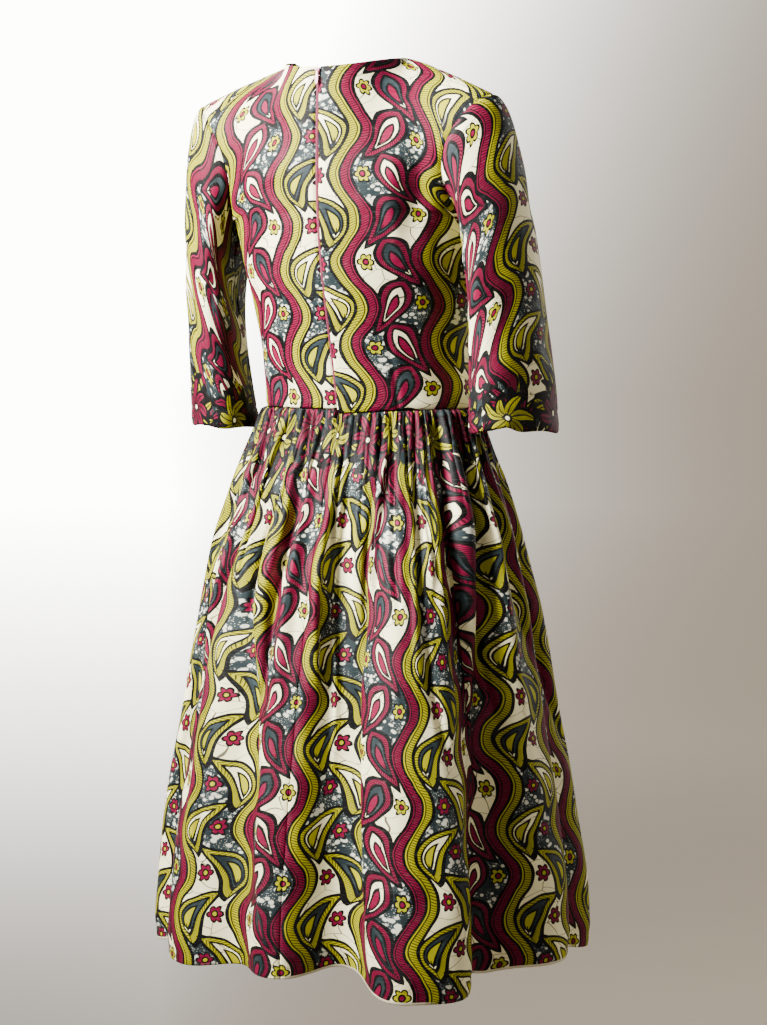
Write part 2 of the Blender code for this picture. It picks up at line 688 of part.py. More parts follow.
def pin_frame():
    """Matrix of the pin that the pull swings on, with the slider's axes."""
    return slider_frame() @ Matrix.Translation((0, PIN_RISE, SLIDER_HEIGHT * 0.22))


def make_zip_slider(material):
    """Slider at the top of the chain: a foot inside the cloth, a web through the opening, two ears."""
    foot_y = -CLOTH - ZIP_CLEAR - SLIDER_FOOT / 2
    size = (2 * SLIDER_HALF_WIDTH, SLIDER_FOOT, SLIDER_HEIGHT)
    slider = box("zip_slider", (0, foot_y, 0), size, dress, bevel=0.0002)
    plate_y = 0.0004
    web_depth = plate_y - foot_y
    web_size = (ZIP_OPENING - 0.0007, web_depth, SLIDER_HEIGHT * 0.8)
    web = box("slider_web", (0, foot_y + web_depth / 2, 0), web_size, helpers)
    pin_z = SLIDER_HEIGHT * 0.22
    plate_size = (2 * (LUG_HALF_GAP + LUG_WIDTH), 0.0005, SLIDER_HEIGHT * 0.5)
    plate = box("slider_plate", (0, plate_y, pin_z), plate_size, helpers)
    pieces = [web, plate]
    for side in (-1, 1):
        x = side * (LUG_HALF_GAP + LUG_WIDTH / 2)
        ear_depth = PIN_RISE + 2 * PIN_RADIUS - plate_y
        centre = (x, plate_y + ear_depth / 2, pin_z)
        ear = box(f"slider_ear_{side}", centre, (LUG_WIDTH, ear_depth, 0.0026), helpers)
        pieces.append(ear)
    pin_length = 2 * LUG_HALF_GAP + LUG_WIDTH
    pieces.append(rod("slider_pin", (0, PIN_RISE, pin_z), PIN_RADIUS, pin_length, helpers))
    slider.data.materials.append(material)
    for piece in pieces:
        combine(slider, piece, "UNION")
    for piece in [slider, *pieces]:
        piece.matrix_world = slider_frame() @ piece.matrix_world


def make_zip_pull(material):
    """Drop-shaped pull tab with a rolled knuckle round the pin. Its origin is on the pin's axis."""
    turn = np.linspace(0, 2 * math.pi, 28, endpoint=False)
    # A drop: narrow at the knuckle and widest a quarter of the way up from its round end
    down = PULL_LENGTH / 2 * (1 - np.cos(turn))
    swell = np.sin(turn) * (0.42 + 0.58 * np.sin(down / PULL_LENGTH * math.pi / 2) ** 2)
    x = PULL_HALF_WIDTH * 1.12 * swell
    thick = PULL_THICKNESS / 2
    faces_at = [np.stack([x, np.full_like(x, y), -down], axis=-1) for y in (-thick, thick)]
    number = np.arange(2 * len(turn)).reshape(2, -1)
    faces = grid_faces(np.concatenate([number, number[:, :1]], axis=1))
    faces += [number[0].tolist(), number[1][::-1].tolist()]
    pull = make_object("zip_pull", np.concatenate(faces_at), faces, material)
    turn_outwards(pull)
    centre = (0, 0, 0)
    knuckle = rod("pull_knuckle", centre, KNUCKLE_RADIUS, 2 * KNUCKLE_HALF_LENGTH, helpers, 20)
    bore = rod("pull_bore", centre, KNUCKLE_BORE, 4 * KNUCKLE_HALF_LENGTH, helpers, 20)
    combine(pull, knuckle, "UNION")
    combine(pull, bore, "DIFFERENCE")
    for piece in (pull, knuckle, bore):
        piece.matrix_world = pin_frame() @ piece.matrix_world


for leftover in list(bpy.data.objects):
    bpy.data.objects.remove(leftover)
dress = bpy.data.collections.new("wax_print_dress")
helpers = bpy.data.collections.new("helpers")
for group in (dress, helpers):
    bpy.context.scene.collection.children.link(group)

wax_print_cotton = surface_material("wax_print_cotton", (0.46, 0.12, 0.14), 0.62)
wine_tape = surface_material("wine_tape", (0.16, 0.02, 0.05), 0.7)
wine_enamel = surface_material("wine_enamel", (0.33, 0.04, 0.10), 0.35, 0.3)

make_bodice_and_sleeves(wax_print_cotton)
make_skirt(wax_print_cotton)
make_zip_chain(wine_tape)
make_zip_slider(wine_enamel)
make_zip_pull(wine_enamel)
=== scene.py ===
import math
from collections import namedtuple

import bpy
import numpy as np
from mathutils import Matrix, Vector


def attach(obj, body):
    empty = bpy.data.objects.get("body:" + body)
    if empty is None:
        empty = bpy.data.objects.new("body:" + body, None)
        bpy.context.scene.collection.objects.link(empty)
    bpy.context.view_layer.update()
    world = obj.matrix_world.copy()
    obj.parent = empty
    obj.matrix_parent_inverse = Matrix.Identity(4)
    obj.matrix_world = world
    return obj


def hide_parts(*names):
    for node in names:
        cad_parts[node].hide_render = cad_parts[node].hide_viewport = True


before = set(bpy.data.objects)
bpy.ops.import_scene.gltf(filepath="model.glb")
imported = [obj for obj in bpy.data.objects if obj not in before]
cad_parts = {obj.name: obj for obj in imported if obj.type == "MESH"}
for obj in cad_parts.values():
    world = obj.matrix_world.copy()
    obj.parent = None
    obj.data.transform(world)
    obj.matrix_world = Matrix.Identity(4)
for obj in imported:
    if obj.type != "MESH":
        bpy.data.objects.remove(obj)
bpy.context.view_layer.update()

# Camera: behind the dress and a little to the wearer's right, looking slightly down
camera = {
    "azimuth": 205.0,
    "down": 4.5,
    "distance": 2.85,
    "middle": (0.0, -0.055, -0.301),
    "lens": 84.7,
    "shiftX": 0.0161,
}

studio = {
    "floorZ": -1.42,
    "flatRadius": 3.9,
    "bendRadius": 2.2,
    "wallHeight": 3.6,
    "paper": (0.030, 0.025, 0.020),
    "floor": (0.142, 0.118, 0.090),
    "wallGlow": (0.0283, 0.0233, 0.0174),
    # glow and the glow keys below: a painted pool of light, the paper's own glow behind the dress on one
    # side
    "glow": 14.0,
    "glowEdge": 0.080,
    "glowFade": 0.046,
    "glowSlant": 0.45,
    "glowFoot": 0.075,
    "glowFootFade": 0.057,
    "skyStrength": 0.20,
}

# Shape of the bodice, the same as the solids'
bodice = {
    "neckHalfWidth": 0.073,
    "neckEndY": -0.014,
    "shoulderTip": 0.182,
    "shoulderDrop": 0.045,
    "waistZ": -0.400,
    "waistY": -0.065,
    "waistHalfWidth": 0.130,
    "waistStep": 0.0055,
    "waistStepReach": 0.65,
    "neckShare": 0.42,
    "neckColumns": 7,
    "backRoundness": 0.85,
    "frontRoundness": 0.45,
    "underarm": 5,
    "turnRow": 7,
    "lipGap": 0.0017,
    "lipGapBelow": 0.0005,
    "lipsMeetZ": -0.255,
    "clothThickness": 0.0009,
}
Section = namedtuple("Section", "centreZ centreY wrap")
backSections = (
    Section(-0.400, 0.0275, 90),
    Section(-0.355, 0.037, 90),
    Section(-0.310, 0.050, 90),
    Section(-0.262, 0.064, 90),
    Section(-0.217, 0.073, 88),
    Section(-0.178, 0.0775, 84),
    Section(-0.158, 0.079, 76),
    Section(-0.132, 0.080, 68),
    Section(-0.100, 0.0805, 62),
    Section(-0.070, 0.080, 57),
    Section(-0.040, 0.078, 53),
    Section(-0.014, 0.0745, 50),
)
frontSections = (
    Section(-0.400, -0.160, 90),
    Section(-0.355, -0.163, 90),
    Section(-0.310, -0.167, 90),
    Section(-0.262, -0.172, 90),
    Section(-0.220, -0.172, 88),
    Section(-0.190, -0.165, 84),
    Section(-0.172, -0.158, 78),
    Section(-0.153, -0.149, 72),
    Section(-0.130, -0.135, 66),
    Section(-0.108, -0.117, 60),
    Section(-0.090, -0.098, 55),
    Section(-0.078, -0.082, 50),
)
SidePoint = namedtuple("SidePoint", "x y z")
sideSeam = (
    SidePoint(0.130, -0.065, -0.400),
    SidePoint(0.1305, -0.063, -0.355),
    SidePoint(0.133, -0.058, -0.310),
    SidePoint(0.140, -0.050, -0.262),
    SidePoint(0.1475, -0.039, -0.222),
)
armholeSeam = {"halfHeight": 0.0725, "halfWidth": 0.056, "leanX": 0.015, "scoop": 0.030, "forward": 0.0125}
bust = {"x": 0.080, "z": -0.238, "rise": 0.012, "halfWidth": 0.052, "halfHeight": 0.056}

sleeve = {
    "cuffCentre": (0.188, -0.052, -0.425),
    "cuffLong": 0.060,
    "cuffShort": 0.040,
    "cuffTurn": math.radians(25),
    "topLead": (1.0, 0.0, -0.35),
    "topReach": 0.11,
    "underLead": (0.50, 0.0, -1.0),
    "underReach": 0.15,
    "rows": 108,
    "columns": 144,
}

# Skirt rings, the size of its folds at each drop, and the big folds at the hem
Ring = namedtuple("Ring", "drop halfWidth back front")
rings = (
    Ring(0.000, 0.130, 0.0925, 0.095),
    Ring(0.040, 0.137, 0.103, 0.101),
    Ring(0.080, 0.146, 0.116, 0.110),
    Ring(0.150, 0.163, 0.139, 0.127),
    Ring(0.230, 0.178, 0.159, 0.145),
    Ring(0.350, 0.194, 0.178, 0.168),
    Ring(0.485, 0.212, 0.196, 0.190),
    Ring(0.600, 0.222, 0.207, 0.204),
    Ring(0.632, 0.219, 0.205, 0.203),
)
Swell = namedtuple("Swell", "drop gathers middleFolds hemShare")
swells = (
    Swell(0.000, 0.0028, 0.0000, 0.00),
    Swell(0.006, 0.0046, 0.0006, 0.00),
    Swell(0.018, 0.0056, 0.0026, 0.01),
    Swell(0.035, 0.0050, 0.0062, 0.03),
    Swell(0.060, 0.0034, 0.0100, 0.07),
    Swell(0.095, 0.0016, 0.0128, 0.15),
    Swell(0.140, 0.0003, 0.0126, 0.27),
    Swell(0.200, 0.0000, 0.0098, 0.43),
    Swell(0.270, 0.0000, 0.0064, 0.59),
    Swell(0.350, 0.0000, 0.0036, 0.73),
    Swell(0.440, 0.0000, 0.0018, 0.86),
    Swell(0.530, 0.0000, 0.0006, 0.96),
    Swell(0.632, 0.0000, 0.0000, 1.00),
)
Fold = namedtuple("Fold", "angle reach depth spread dip squareness")
hemFolds = (
    Fold(-147, 14.5, 0.040, 0.003, 0.000, 2.6),
    Fold(-109, 13.5, 0.046, 0.003, 0.003, 2.6),
    Fold(-71, 11.5, 0.042, 0.003, 0.013, 2.6),
    Fold(-37, 13.0, 0.043, 0.004, 0.006, 3.0),
    Fold(-3, 10.0, 0.036, 0.002, 0.000, 2.4),
    Fold(14, 8.0, -0.006, 0.000, -0.010, 2.0),
    Fold(37, 13.0, 0.066, 0.015, 0.014, 4.0),
    Fold(61, 6.0, -0.006, 0.000, 0.006, 2.0),
    Fold(82, 14.0, 0.040, 0.003, 0.000, 2.6),
    Fold(115, 12.5, 0.045, 0.003, 0.013, 2.6),
    Fold(148, 13.0, 0.038, 0.003, 0.000, 2.6),
    Fold(181, 12.0, 0.047, 0.004, 0.003, 2.6),
)
skirt = {
    "length": 0.632,
    "gathers": 72,
    "middleFolds": 27,
    "zipCalm": math.radians(9),
    "zipEnd": 0.100,
    "flatGirth": 1.77,
    "clothThickness": 0.0009,
    "columnsPerDegree": 2.4,
    "pieces": (
        ("skirtBackRight", "skirt_back_right", 0, 90),
        ("skirtFront", "skirt_front", 90, 270),
        ("skirtBackLeft", "skirt_back_left", -90, 0),
    ),
}

# Print, in metres of flat cloth
waxPrint = {
    "halfRepeat": 0.092,
    "tier": 0.100,
    "bandShare": 0.155,
    "swing": 0.135,
    "lime": (0.31, 0.295, 0.0003),
    "limeDeep": (0.13, 0.118, 0.0003),
    "crimson": (0.138, 0.0007, 0.024),
    "crimsonDeep": (0.050, 0.0003, 0.008),
    "slate": (0.0105, 0.0175, 0.0200),
    "slateLight": (0.028, 0.041, 0.045),
    "cream": (0.80, 0.75, 0.45),
    "bubble": (0.50, 0.50, 0.41),
    "ink": (0.0008, 0.0007, 0.0008),
    "selvage": (0.60, 0.55, 0.38),
}


def unit(vectors):
    # each vector divided by its own length
    return vectors / np.maximum(np.linalg.norm(vectors, axis=-1, keepdims=True), 1e-12)


def smoothRows(values, at):
    # Catmull-Rom curve through a list of values, read at fractional places
    values = np.asarray(values, float)
    padded = np.concatenate([[2 * values[0] - values[1]], values, [2 * values[-1] - values[-2]]])
    row = np.clip(np.floor(at).astype(int), 0, len(values) - 2)
    t = np.asarray(at - row)
    t = t.reshape(t.shape + (1,) * (values.ndim - 1))
    before, here, after, later = (padded[row + k] for k in range(4))
    return 0.5 * (
        2 * here
        + (after - before) * t
        + (2 * before - 5 * here + 4 * after - later) * t**2
        + (3 * here - before - 3 * after + later) * t**3
    )


def tableColumn(table, name):
    return np.array([getattr(row, name) for row in table])


def finer(grid, rowsAt, columnsAt):
    # the grid read at fractional rows, then at fractional columns, both along smooth curves
    tall = smoothRows(grid, rowsAt)
    return smoothRows(tall.transpose(1, 0, 2), columnsAt).transpose(1, 0, 2)


def places(last, perStep):
    # evenly spaced places from 0 to last, with closer ones next to both ends
    even = np.linspace(0, last, last * perStep + 1)
    close = np.array([0.05, 0.12, 0.22, 0.34])
    return np.unique(np.round(np.concatenate([even, close, last - close]), 4))


def arcs(points, axis):
    # distance travelled along the grid lines from the first one
    steps = np.linalg.norm(np.diff(points, axis=axis), axis=-1)
    start = np.zeros_like(np.take(steps, [0], axis=axis))
    return np.concatenate([start, np.cumsum(steps, axis=axis)], axis=axis)


def gridNormals(points, awayFrom):
    # cross product of the two grid directions, turned away from a middle point
    normals = unit(np.cross(np.gradient(points, axis=1), np.gradient(points, axis=0)))
    facing = np.sum(normals * (points - awayFrom))
    return normals * (1 if facing > 0 else -1)


def armhole(angle):
    # oval round the shoulder, scooped inwards at its front and back
    cos, sin = np.cos(angle), np.sin(angle)
    size = armholeSeam
    x = bodice["shoulderTip"] - size["leanX"] + size["leanX"] * cos - size["scoop"] * sin**2
    y = -size["forward"] * (1 - cos) + size["halfWidth"] * sin
    z = -bodice["shoulderDrop"] - size["halfHeight"] * (1 - cos)
    return np.stack([x, y, z], axis=-1)


def sideEdge(rows, back):
    # the side seam up to the underarm, then the armhole up to the shoulder tip
    underarm, top = bodice["underarm"], len(backSections) - 1
    share = np.clip((rows - underarm) / (top - underarm), 0, 1)
    angle = math.pi * (1 - share) if back else math.pi * (1 + share)
    end = armhole(np.array(math.pi))
    seam = [np.append(tableColumn(sideSeam, axis), end[k]) for k, axis in enumerate("xyz")]
    onSide = np.stack([smoothRows(c, np.minimum(rows, underarm)) for c in seam], axis=-1)
    return np.where((rows > underarm)[..., None], armhole(angle), onSide)


def topEdge(across, neckY, neckZ):
    # a quarter of the oval neckline, then the sloping shoulder seam
    turn = np.clip(across / bodice["neckShare"], 0, 1) * math.pi / 2
    along = np.clip((across - bodice["neckShare"]) / (1 - bodice["neckShare"]), 0, 1)
    half, end = bodice["neckHalfWidth"], bodice["neckEndY"]
    x = half * np.sin(turn) + (bodice["shoulderTip"] - half) * along
    y = end * (1 - along) + (neckY - end) * np.cos(turn)
    z = neckZ * np.cos(turn) ** 1.5 - bodice["shoulderDrop"] * along**1.15
    return np.stack([x, y, z], axis=-1)


def sectionPoints(across, rows, sections, back):
    # each row is part of an oval from the centre line to its end on the side seam
    centreZ = smoothRows(tableColumn(sections, "centreZ"), rows)
    centreY = smoothRows(tableColumn(sections, "centreY"), rows)
    wrap = np.radians(smoothRows(tableColumn(sections, "wrap"), rows))
    end = sideEdge(rows, back)
    x = end[..., 0] * np.sin(across * wrap) / np.sin(wrap)
    turn = (1 - np.cos(across * wrap)) / (1 - np.cos(wrap))
    y = centreY + (end[..., 1] - centreY) * turn
    z = centreZ + (end[..., 2] - centreZ) * across**2
    return np.stack([x, y, z], axis=-1)


def columnShares():
    # the solids' own columns: some under the neckline, some under the shoulder seam
    under = np.linspace(0, bodice["neckShare"], bodice["neckColumns"] + 1)[:-1]
    return np.concatenate([under, np.linspace(bodice["neckShare"], 1, 6)])


def rowNumbers():
    # the solids' own rows: some up to the underarm, some from there to the shoulder
    below = np.linspace(0, bodice["underarm"], 7)[:-1]
    return np.concatenate([below, np.linspace(bodice["underarm"], len(backSections) - 1, 13)])


def bodiceHalf(back):
    # half of the back or front on the solids' own grid: sections below, a quarter turn over the shoulder
    turnRow, top = bodice["turnRow"], len(backSections) - 1
    across, rows = np.meshgrid(columnShares(), rowNumbers())
    sections = backSections if back else frontSections
    roundness = bodice["backRoundness"] if back else bodice["frontRoundness"]
    turned = np.clip((rows - turnRow) / (top - turnRow), 0, 1)
    inwards = roundness * (1 - np.cos(turned * math.pi / 2)) + (1 - roundness) * turned
    upwards = roundness * np.sin(turned * math.pi / 2) + (1 - roundness) * turned
    weights = np.stack([turned, inwards, upwards], axis=-1)
    start = sectionPoints(across, np.full_like(rows, turnRow), sections, back)
    edgeStart = sideEdge(np.full_like(rows, turnRow), back)
    edgePlain = edgeStart + weights * (armhole(np.zeros_like(rows)) - edgeStart)
    last = sections[-1]
    over = start + weights * (topEdge(across, last.centreY, last.centreZ) - start)
    over = over + (across**3)[..., None] * (sideEdge(rows, back) - edgePlain)
    points = np.where((rows > turnRow)[..., None], over, sectionPoints(across, rows, sections, back))
    relaxCorner(points, across, rows)
    if not back:
        away = ((points[..., 0] - bust["x"]) / bust["halfWidth"]) ** 2
        away = away + ((points[..., 2] - bust["z"]) / bust["halfHeight"]) ** 2
        free = np.clip((1 - across) * 5, 0, 1) * np.clip(rows / 2, 0, 1)
        points[..., 1] -= bust["rise"] * np.exp(-away) * free
    return points


def relaxCorner(points, across, rows):
    # each inner point near the neck corner moves towards the mean of its neighbours
    top = len(backSections) - 1
    away = ((across - bodice["neckShare"]) / 0.17) ** 2 + ((rows - top) / 1.8) ** 2
    share = 0.9 * np.exp(-away)[1:-1, 1:-1, None]
    for _ in range(14):
        acrossMean = (points[1:-1, :-2] + points[1:-1, 2:]) / 2
        alongMean = (points[:-2, 1:-1] + points[2:, 1:-1]) / 2
        points[1:-1, 1:-1] += share * ((acrossMean + alongMean) / 2 - points[1:-1, 1:-1])


def waistLowering(across):
    return bodice["waistStep"] * np.clip(1 - across / bodice["waistStepReach"], 0, 1) ** 1.5


def bell(distance, width):
    # exp(-(distance / width)^2): 1 on the line, fading to both sides
    return np.exp(-((distance / width) ** 2))


def eased(share):
    # 3 s^2 - 2 s^3: leaves 0 and reaches 1 softly
    return share * share * (3 - 2 * share)


# Creases laid one by one: a soft trough (negative depth) or ridge along a line on the flat cloth
Crease = namedtuple("Crease", "u0 v0 u1 v1 width depth")


def creased(flat, creases):
    # sum of bell-shaped troughs and ridges, each fading out towards both ends of its line
    rise = np.zeros(flat.shape[:2])
    for crease in creases:
        start = np.array([crease.u0, crease.v0])
        line = np.array([crease.u1, crease.v1]) - start
        length = np.hypot(*line)
        along = (flat - start) @ line / length**2
        aside = (flat - start) @ np.array([-line[1], line[0]]) / length
        # each line bends a little to one side
        aside = aside + 0.06 * length * np.sin(along * math.pi) * np.sign(crease.depth)
        fade = eased(np.clip(np.minimum(along + 0.08, 1.08 - along) / 0.45, 0, 1))
        rise += crease.depth * bell(aside, crease.width) * fade
    return rise


# Fold edges laid one by one: a crest with a wide slope on one side and a narrow one on the other
Pleat = namedtuple("Pleat", "u0 v0 u1 v1 height wide narrow hidden")


def pleated(flat, pleats):
    # along each crest: two half bells of different widths, and the print that the narrow one hides
    rise = np.zeros(flat.shape[:2])
    slip = np.zeros(flat.shape[:2])
    for pleat in pleats:
        along = (flat[..., 1] - pleat.v0) / (pleat.v1 - pleat.v0)
        crest = pleat.u0 + (pleat.u1 - pleat.u0) * along + 0.004 * np.sin(along * 5.0 + pleat.u0 * 90)
        aside = (flat[..., 0] - crest) * np.sign(pleat.narrow)
        narrow = abs(pleat.narrow)
        slopes = np.where(aside > 0, bell(aside, narrow), bell(aside, pleat.wide))
        fade = eased(np.clip(np.minimum(along + 0.10, 1.10 - along) / 0.40, 0, 1))
        rise += pleat.height * slopes * fade
        beyond = np.clip((aside - 0.15 * narrow) / (1.5 * narrow), 0, 1)
        back = np.clip((aside - 2.0 * narrow) / 0.050, 0, 1)
        slip += pleat.hidden * np.sign(pleat.narrow) * fade * (eased(beyond) - eased(back))
    return rise, slip


def seamDip(distance, depth=0.0012, reach=0.0030):
    # the cloth turns down towards a stitched seam
    return -depth * bell(distance, reach)


def ripple(flat, seed, size, height):
    # low uneven waves of handled cotton, a sum of five sines in different directions
    rng = np.random.default_rng(seed)
    total = np.zeros(flat.shape[:2])
    for _ in range(5):
        turn = rng.uniform(0, math.pi)
        pitch = size * rng.uniform(0.6, 1.6)
        wave = flat[..., 0] * math.cos(turn) + flat[..., 1] * math.sin(turn)
        total += np.sin(wave * 2 * math.pi / pitch + rng.uniform(0, 6.3))
    return total * height / 5


def gridMesh(name, points, flat, edges, outwards):
    # quads of a grid of points, with the flat cloth as its UV map and two distances as a second one
    rows, columns = points.shape[:2]
    number = np.arange(rows * columns).reshape(rows, columns)
    quads = np.stack([number[:-1, :-1], number[:-1, 1:], number[1:, 1:], number[1:, :-1]], axis=-1)
    quads = quads.reshape(-1, 4)
    corner = points.reshape(-1, 3)[quads[len(quads) // 2]]
    facing = np.cross(corner[2] - corner[0], corner[3] - corner[1])
    if np.dot(facing, outwards.reshape(-1, 3)[quads[len(quads) // 2][0]]) < 0:
        quads = quads[:, ::-1]
    mesh = bpy.data.meshes.new(name)
    mesh.vertices.add(rows * columns)
    mesh.vertices.foreach_set("co", points.astype(np.float32).ravel())
    mesh.loops.add(quads.size)
    mesh.loops.foreach_set("vertex_index", quads.astype(np.int32).ravel())
    mesh.polygons.add(len(quads))
    mesh.polygons.foreach_set("loop_start", np.arange(0, quads.size, 4, dtype=np.int32))
    mesh.update(calc_edges=True)
    for label, values in (("flatCloth", flat), ("clothEdges", edges)):
        layer = mesh.uv_layers.new(name=label)
        layer.data.foreach_set("uv", values.reshape(-1, 2)[quads.ravel()].astype(np.float32).ravel())
    mesh.shade_smooth()
    obj = bpy.data.objects.new(name, mesh)
    dressLook.objects.link(obj)
    return obj


def turnUp(name, points, flat, edges, outwards, rowsAt, depth):
    # the edge folded up inside, its strip of cloth lying against the wall
    line = np.stack([smoothRows(grid, rowsAt) for grid in (points, outwards)])
    inside = line[0] - unit(line[1]) * depth
    strip = gridMesh(name, inside, smoothRows(flat, rowsAt), smoothRows(edges, rowsAt), -line[1])
    wall = strip.modifiers.new("Turn-up thickness", "SOLIDIFY")
    wall.thickness = 0.0005
    wall.offset = 1
    strip.data.materials.append(cottonPrint)
    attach(strip, "dress")
    return strip


def pointMesh(name, points, quads, material):
    # a smooth piece of the dress from loose points and quads
    mesh = bpy.data.meshes.new(name)
    mesh.from_pydata(points.reshape(-1, 3).tolist(), [], quads.tolist())
    mesh.shade_smooth()
    obj = bpy.data.objects.new(name, mesh)
    obj.data.materials.append(material)
    dressLook.objects.link(obj)
    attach(obj, "dress")
    return obj


def repeated(name, template, quads, origins, frames, material):
    # one mesh of many copies of a small shape, each set on its own origin and turned by its own three axes
    shape = np.array(template)
    points = origins[:, None] + np.einsum("vk,nkc->nvc", shape, frames)
    number = np.arange(len(origins)) * len(shape)
    faces = (np.array(quads)[None] + number[:, None, None]).reshape(-1, 4)
    return pointMesh(name, points, faces, material)


def bentRod(path, radius, sides):
    # points and quads of a round rod along a short path, closed by narrow tips
    path = np.asarray(path, float)
    ahead = unit(np.gradient(path, axis=0))
    aside = unit(np.cross(ahead, (0.0, 0.0, 1.0)))
    above = np.cross(aside, ahead)
    turn = np.arange(sides) * 2 * math.pi / sides
    girth = np.full(len(path), radius)
    girth[[0, -1]] = radius * 0.35
    rings = aside[:, None] * np.cos(turn)[None, :, None] + above[:, None] * np.sin(turn)[None, :, None]
    points = path[:, None] + rings * girth[:, None, None]
    k, j = np.meshgrid(np.arange(len(path) - 1), np.arange(sides), indexing="ij")
    after = (j + 1) % sides
    here, there = k * sides, (k + 1) * sides
    quads = np.stack([here + j, here + after, there + after, there + j], axis=-1)
    return points.reshape(-1, 3), quads.reshape(-1, 4)


def stitchRow(name, line, outwards, pitch):
    # stitches of thread lying along a line on the cloth, each dipping in at both ends
    travelled = arcs(line[None], 1)[0]
    count = int(travelled[-1] / pitch)
    at = np.interp((np.arange(count) + 0.5) * pitch, travelled, np.arange(len(line)))
    origins = smoothRows(line, at)
    ahead = unit(smoothRows(line, at + 0.2) - smoothRows(line, at - 0.2))
    up = smoothRows(outwards, at)
    up = unit(up - ahead * np.sum(up * ahead, axis=-1, keepdims=True))
    frames = np.stack([ahead, np.cross(up, ahead), up], axis=1)
    span = pitch * 0.39
    radius, sunk = 0.00022, -0.0004
    path = [(-span, sunk), (-span * 0.7, 0.0001), (0, radius), (span * 0.7, 0.0001), (span, sunk)]
    template, quads = bentRod([(x, z, 0) for x, z in path], radius, 5)
    return repeated(name, template[:, [0, 2, 1]], quads, origins, frames, sewingThread)


def clothPiece(name, node, points, flat, edges, outwards, thickness):
    # a shell of cloth in place of its solid
    obj = gridMesh(name, points, flat, edges, outwards)
    wall = obj.modifiers.new("Cloth thickness", "SOLIDIFY")
    wall.thickness = thickness
    wall.offset = -1
    wall.use_even_offset = False
    obj.data.materials.append(cottonPrint)
    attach(obj, "dress")
    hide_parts(node)


# Materials: plain arithmetic on a number in a node tree adds the Math nodes
class Wire:
    def __init__(self, tree, socket):
        self.tree = tree
        self.socket = socket

    def reckon(self, operation, *others):
        node = self.tree.nodes.new("ShaderNodeMath")
        node.operation = operation
        for k, item in enumerate((self, *others)):
            if isinstance(item, Wire):
                self.tree.links.new(item.socket, node.inputs[k])
            else:
                node.inputs[k].default_value = item
        return Wire(self.tree, node.outputs[0])

    def __add__(self, other):
        return self.reckon("ADD", other)

    def __sub__(self, other):
        return self.reckon("SUBTRACT", other)

    def __mul__(self, other):
        return self.reckon("MULTIPLY", other)

    def __truediv__(self, other):
        return self.reckon("DIVIDE", other)

    def negative(self):
        return self.reckon("MULTIPLY", -1.0)

    def sin(self):
        return self.reckon("SINE")

    def floor(self):
        return self.reckon("FLOOR")

    def abs(self):
        return self.reckon("ABSOLUTE")

    def atan2(self, other):
        return self.reckon("ARCTAN2", other)

    def root(self):
        return self.reckon("SQRT")

    def larger(self, other):
        return self.reckon("MAXIMUM", other)

    def fraction(self):
        return self.reckon("FRACT")

    def ramp(self, low, high):
        # 0 at low and 1 at high, with soft ends
        node = self.tree.nodes.new("ShaderNodeMapRange")
        node.interpolation_type = "SMOOTHSTEP"
        self.tree.links.new(self.socket, node.inputs["Value"])
        for name, item in (("From Min", low), ("From Max", high)):
            if isinstance(item, Wire):
                self.tree.links.new(item.socket, node.inputs[name])
            else:
                node.inputs[name].default_value = item
        return Wire(self.tree, node.outputs["Result"])

    def below(self, limit, soft):
        # 1 where the number is under the limit
        return self.negative().ramp(-limit - soft, -limit + soft)

    def line(self, at, halfWidth, soft):
        # 1 within halfWidth of a value
        return (self - at).abs().below(halfWidth, soft)


def painted(tree, under, colour, mask):
    # the colour laid over what is under it wherever the mask is 1
    node = tree.nodes.new("ShaderNodeMix")
    node.data_type = "RGBA"
    for socket, item in ((node.inputs[6], under), (node.inputs[7], colour)):
        if isinstance(item, tuple):
            socket.default_value = (*item, 1)
        else:
            tree.links.new(item, socket)
    tree.links.new(mask.socket, node.inputs[0])
    return node.outputs[2]


def vectorOf(tree, x, y):
    node = tree.nodes.new("ShaderNodeCombineXYZ")
    for k, item in enumerate((x, y)):
        tree.links.new(item.socket, node.inputs[k])
    return node.outputs[0]


def noise(tree, vector, scale, detail=2.0, dimensions="3D"):
    node = tree.nodes.new("ShaderNodeTexNoise")
    node.noise_dimensions = dimensions
    tree.links.new(vector, node.inputs["Vector"])
    node.inputs["Scale"].default_value = scale
    node.inputs["Detail"].default_value = detail
    return Wire(tree, node.outputs["Fac"])


def coloured(tree, vector, scale, detail):
    # a flat noise's colour, which holds three unrelated values
    node = tree.nodes.new("ShaderNodeTexNoise")
    node.noise_dimensions = "2D"
    tree.links.new(vector, node.inputs["Vector"])
    node.inputs["Scale"].default_value = scale
    node.inputs["Detail"].default_value = detail
    return node.outputs["Color"]


def parts(tree, vector):
    node = tree.nodes.new("ShaderNodeSeparateXYZ")
    tree.links.new(vector, node.inputs[0])
    return [Wire(tree, output) for output in node.outputs]


def cells(tree, vector, scale, feature, dimensions="3D"):
    node = tree.nodes.new("ShaderNodeTexVoronoi")
    node.voronoi_dimensions = dimensions
    node.feature = feature
    tree.links.new(vector, node.inputs["Vector"])
    node.inputs["Scale"].default_value = scale
    return node


def newGroup(name, inputs, outputs):
    tree = bpy.data.node_groups.new(name, "ShaderNodeTree")
    for label, kind in inputs:
        tree.interface.new_socket(label, in_out="INPUT", socket_type=kind)
    for label, kind in outputs:
        tree.interface.new_socket(label, in_out="OUTPUT", socket_type=kind)
    return tree, tree.nodes.new("NodeGroupInput"), tree.nodes.new("NodeGroupOutput")


def almond(across, along, halfWidth, halfLength):
    # distance from the outline of a pointed oval, where two circles overlap
    radius = (halfWidth**2 + halfLength**2) / (2 * halfWidth)
    side = across.abs() + (radius - halfWidth)
    return (side * side + along * along).root() - radius


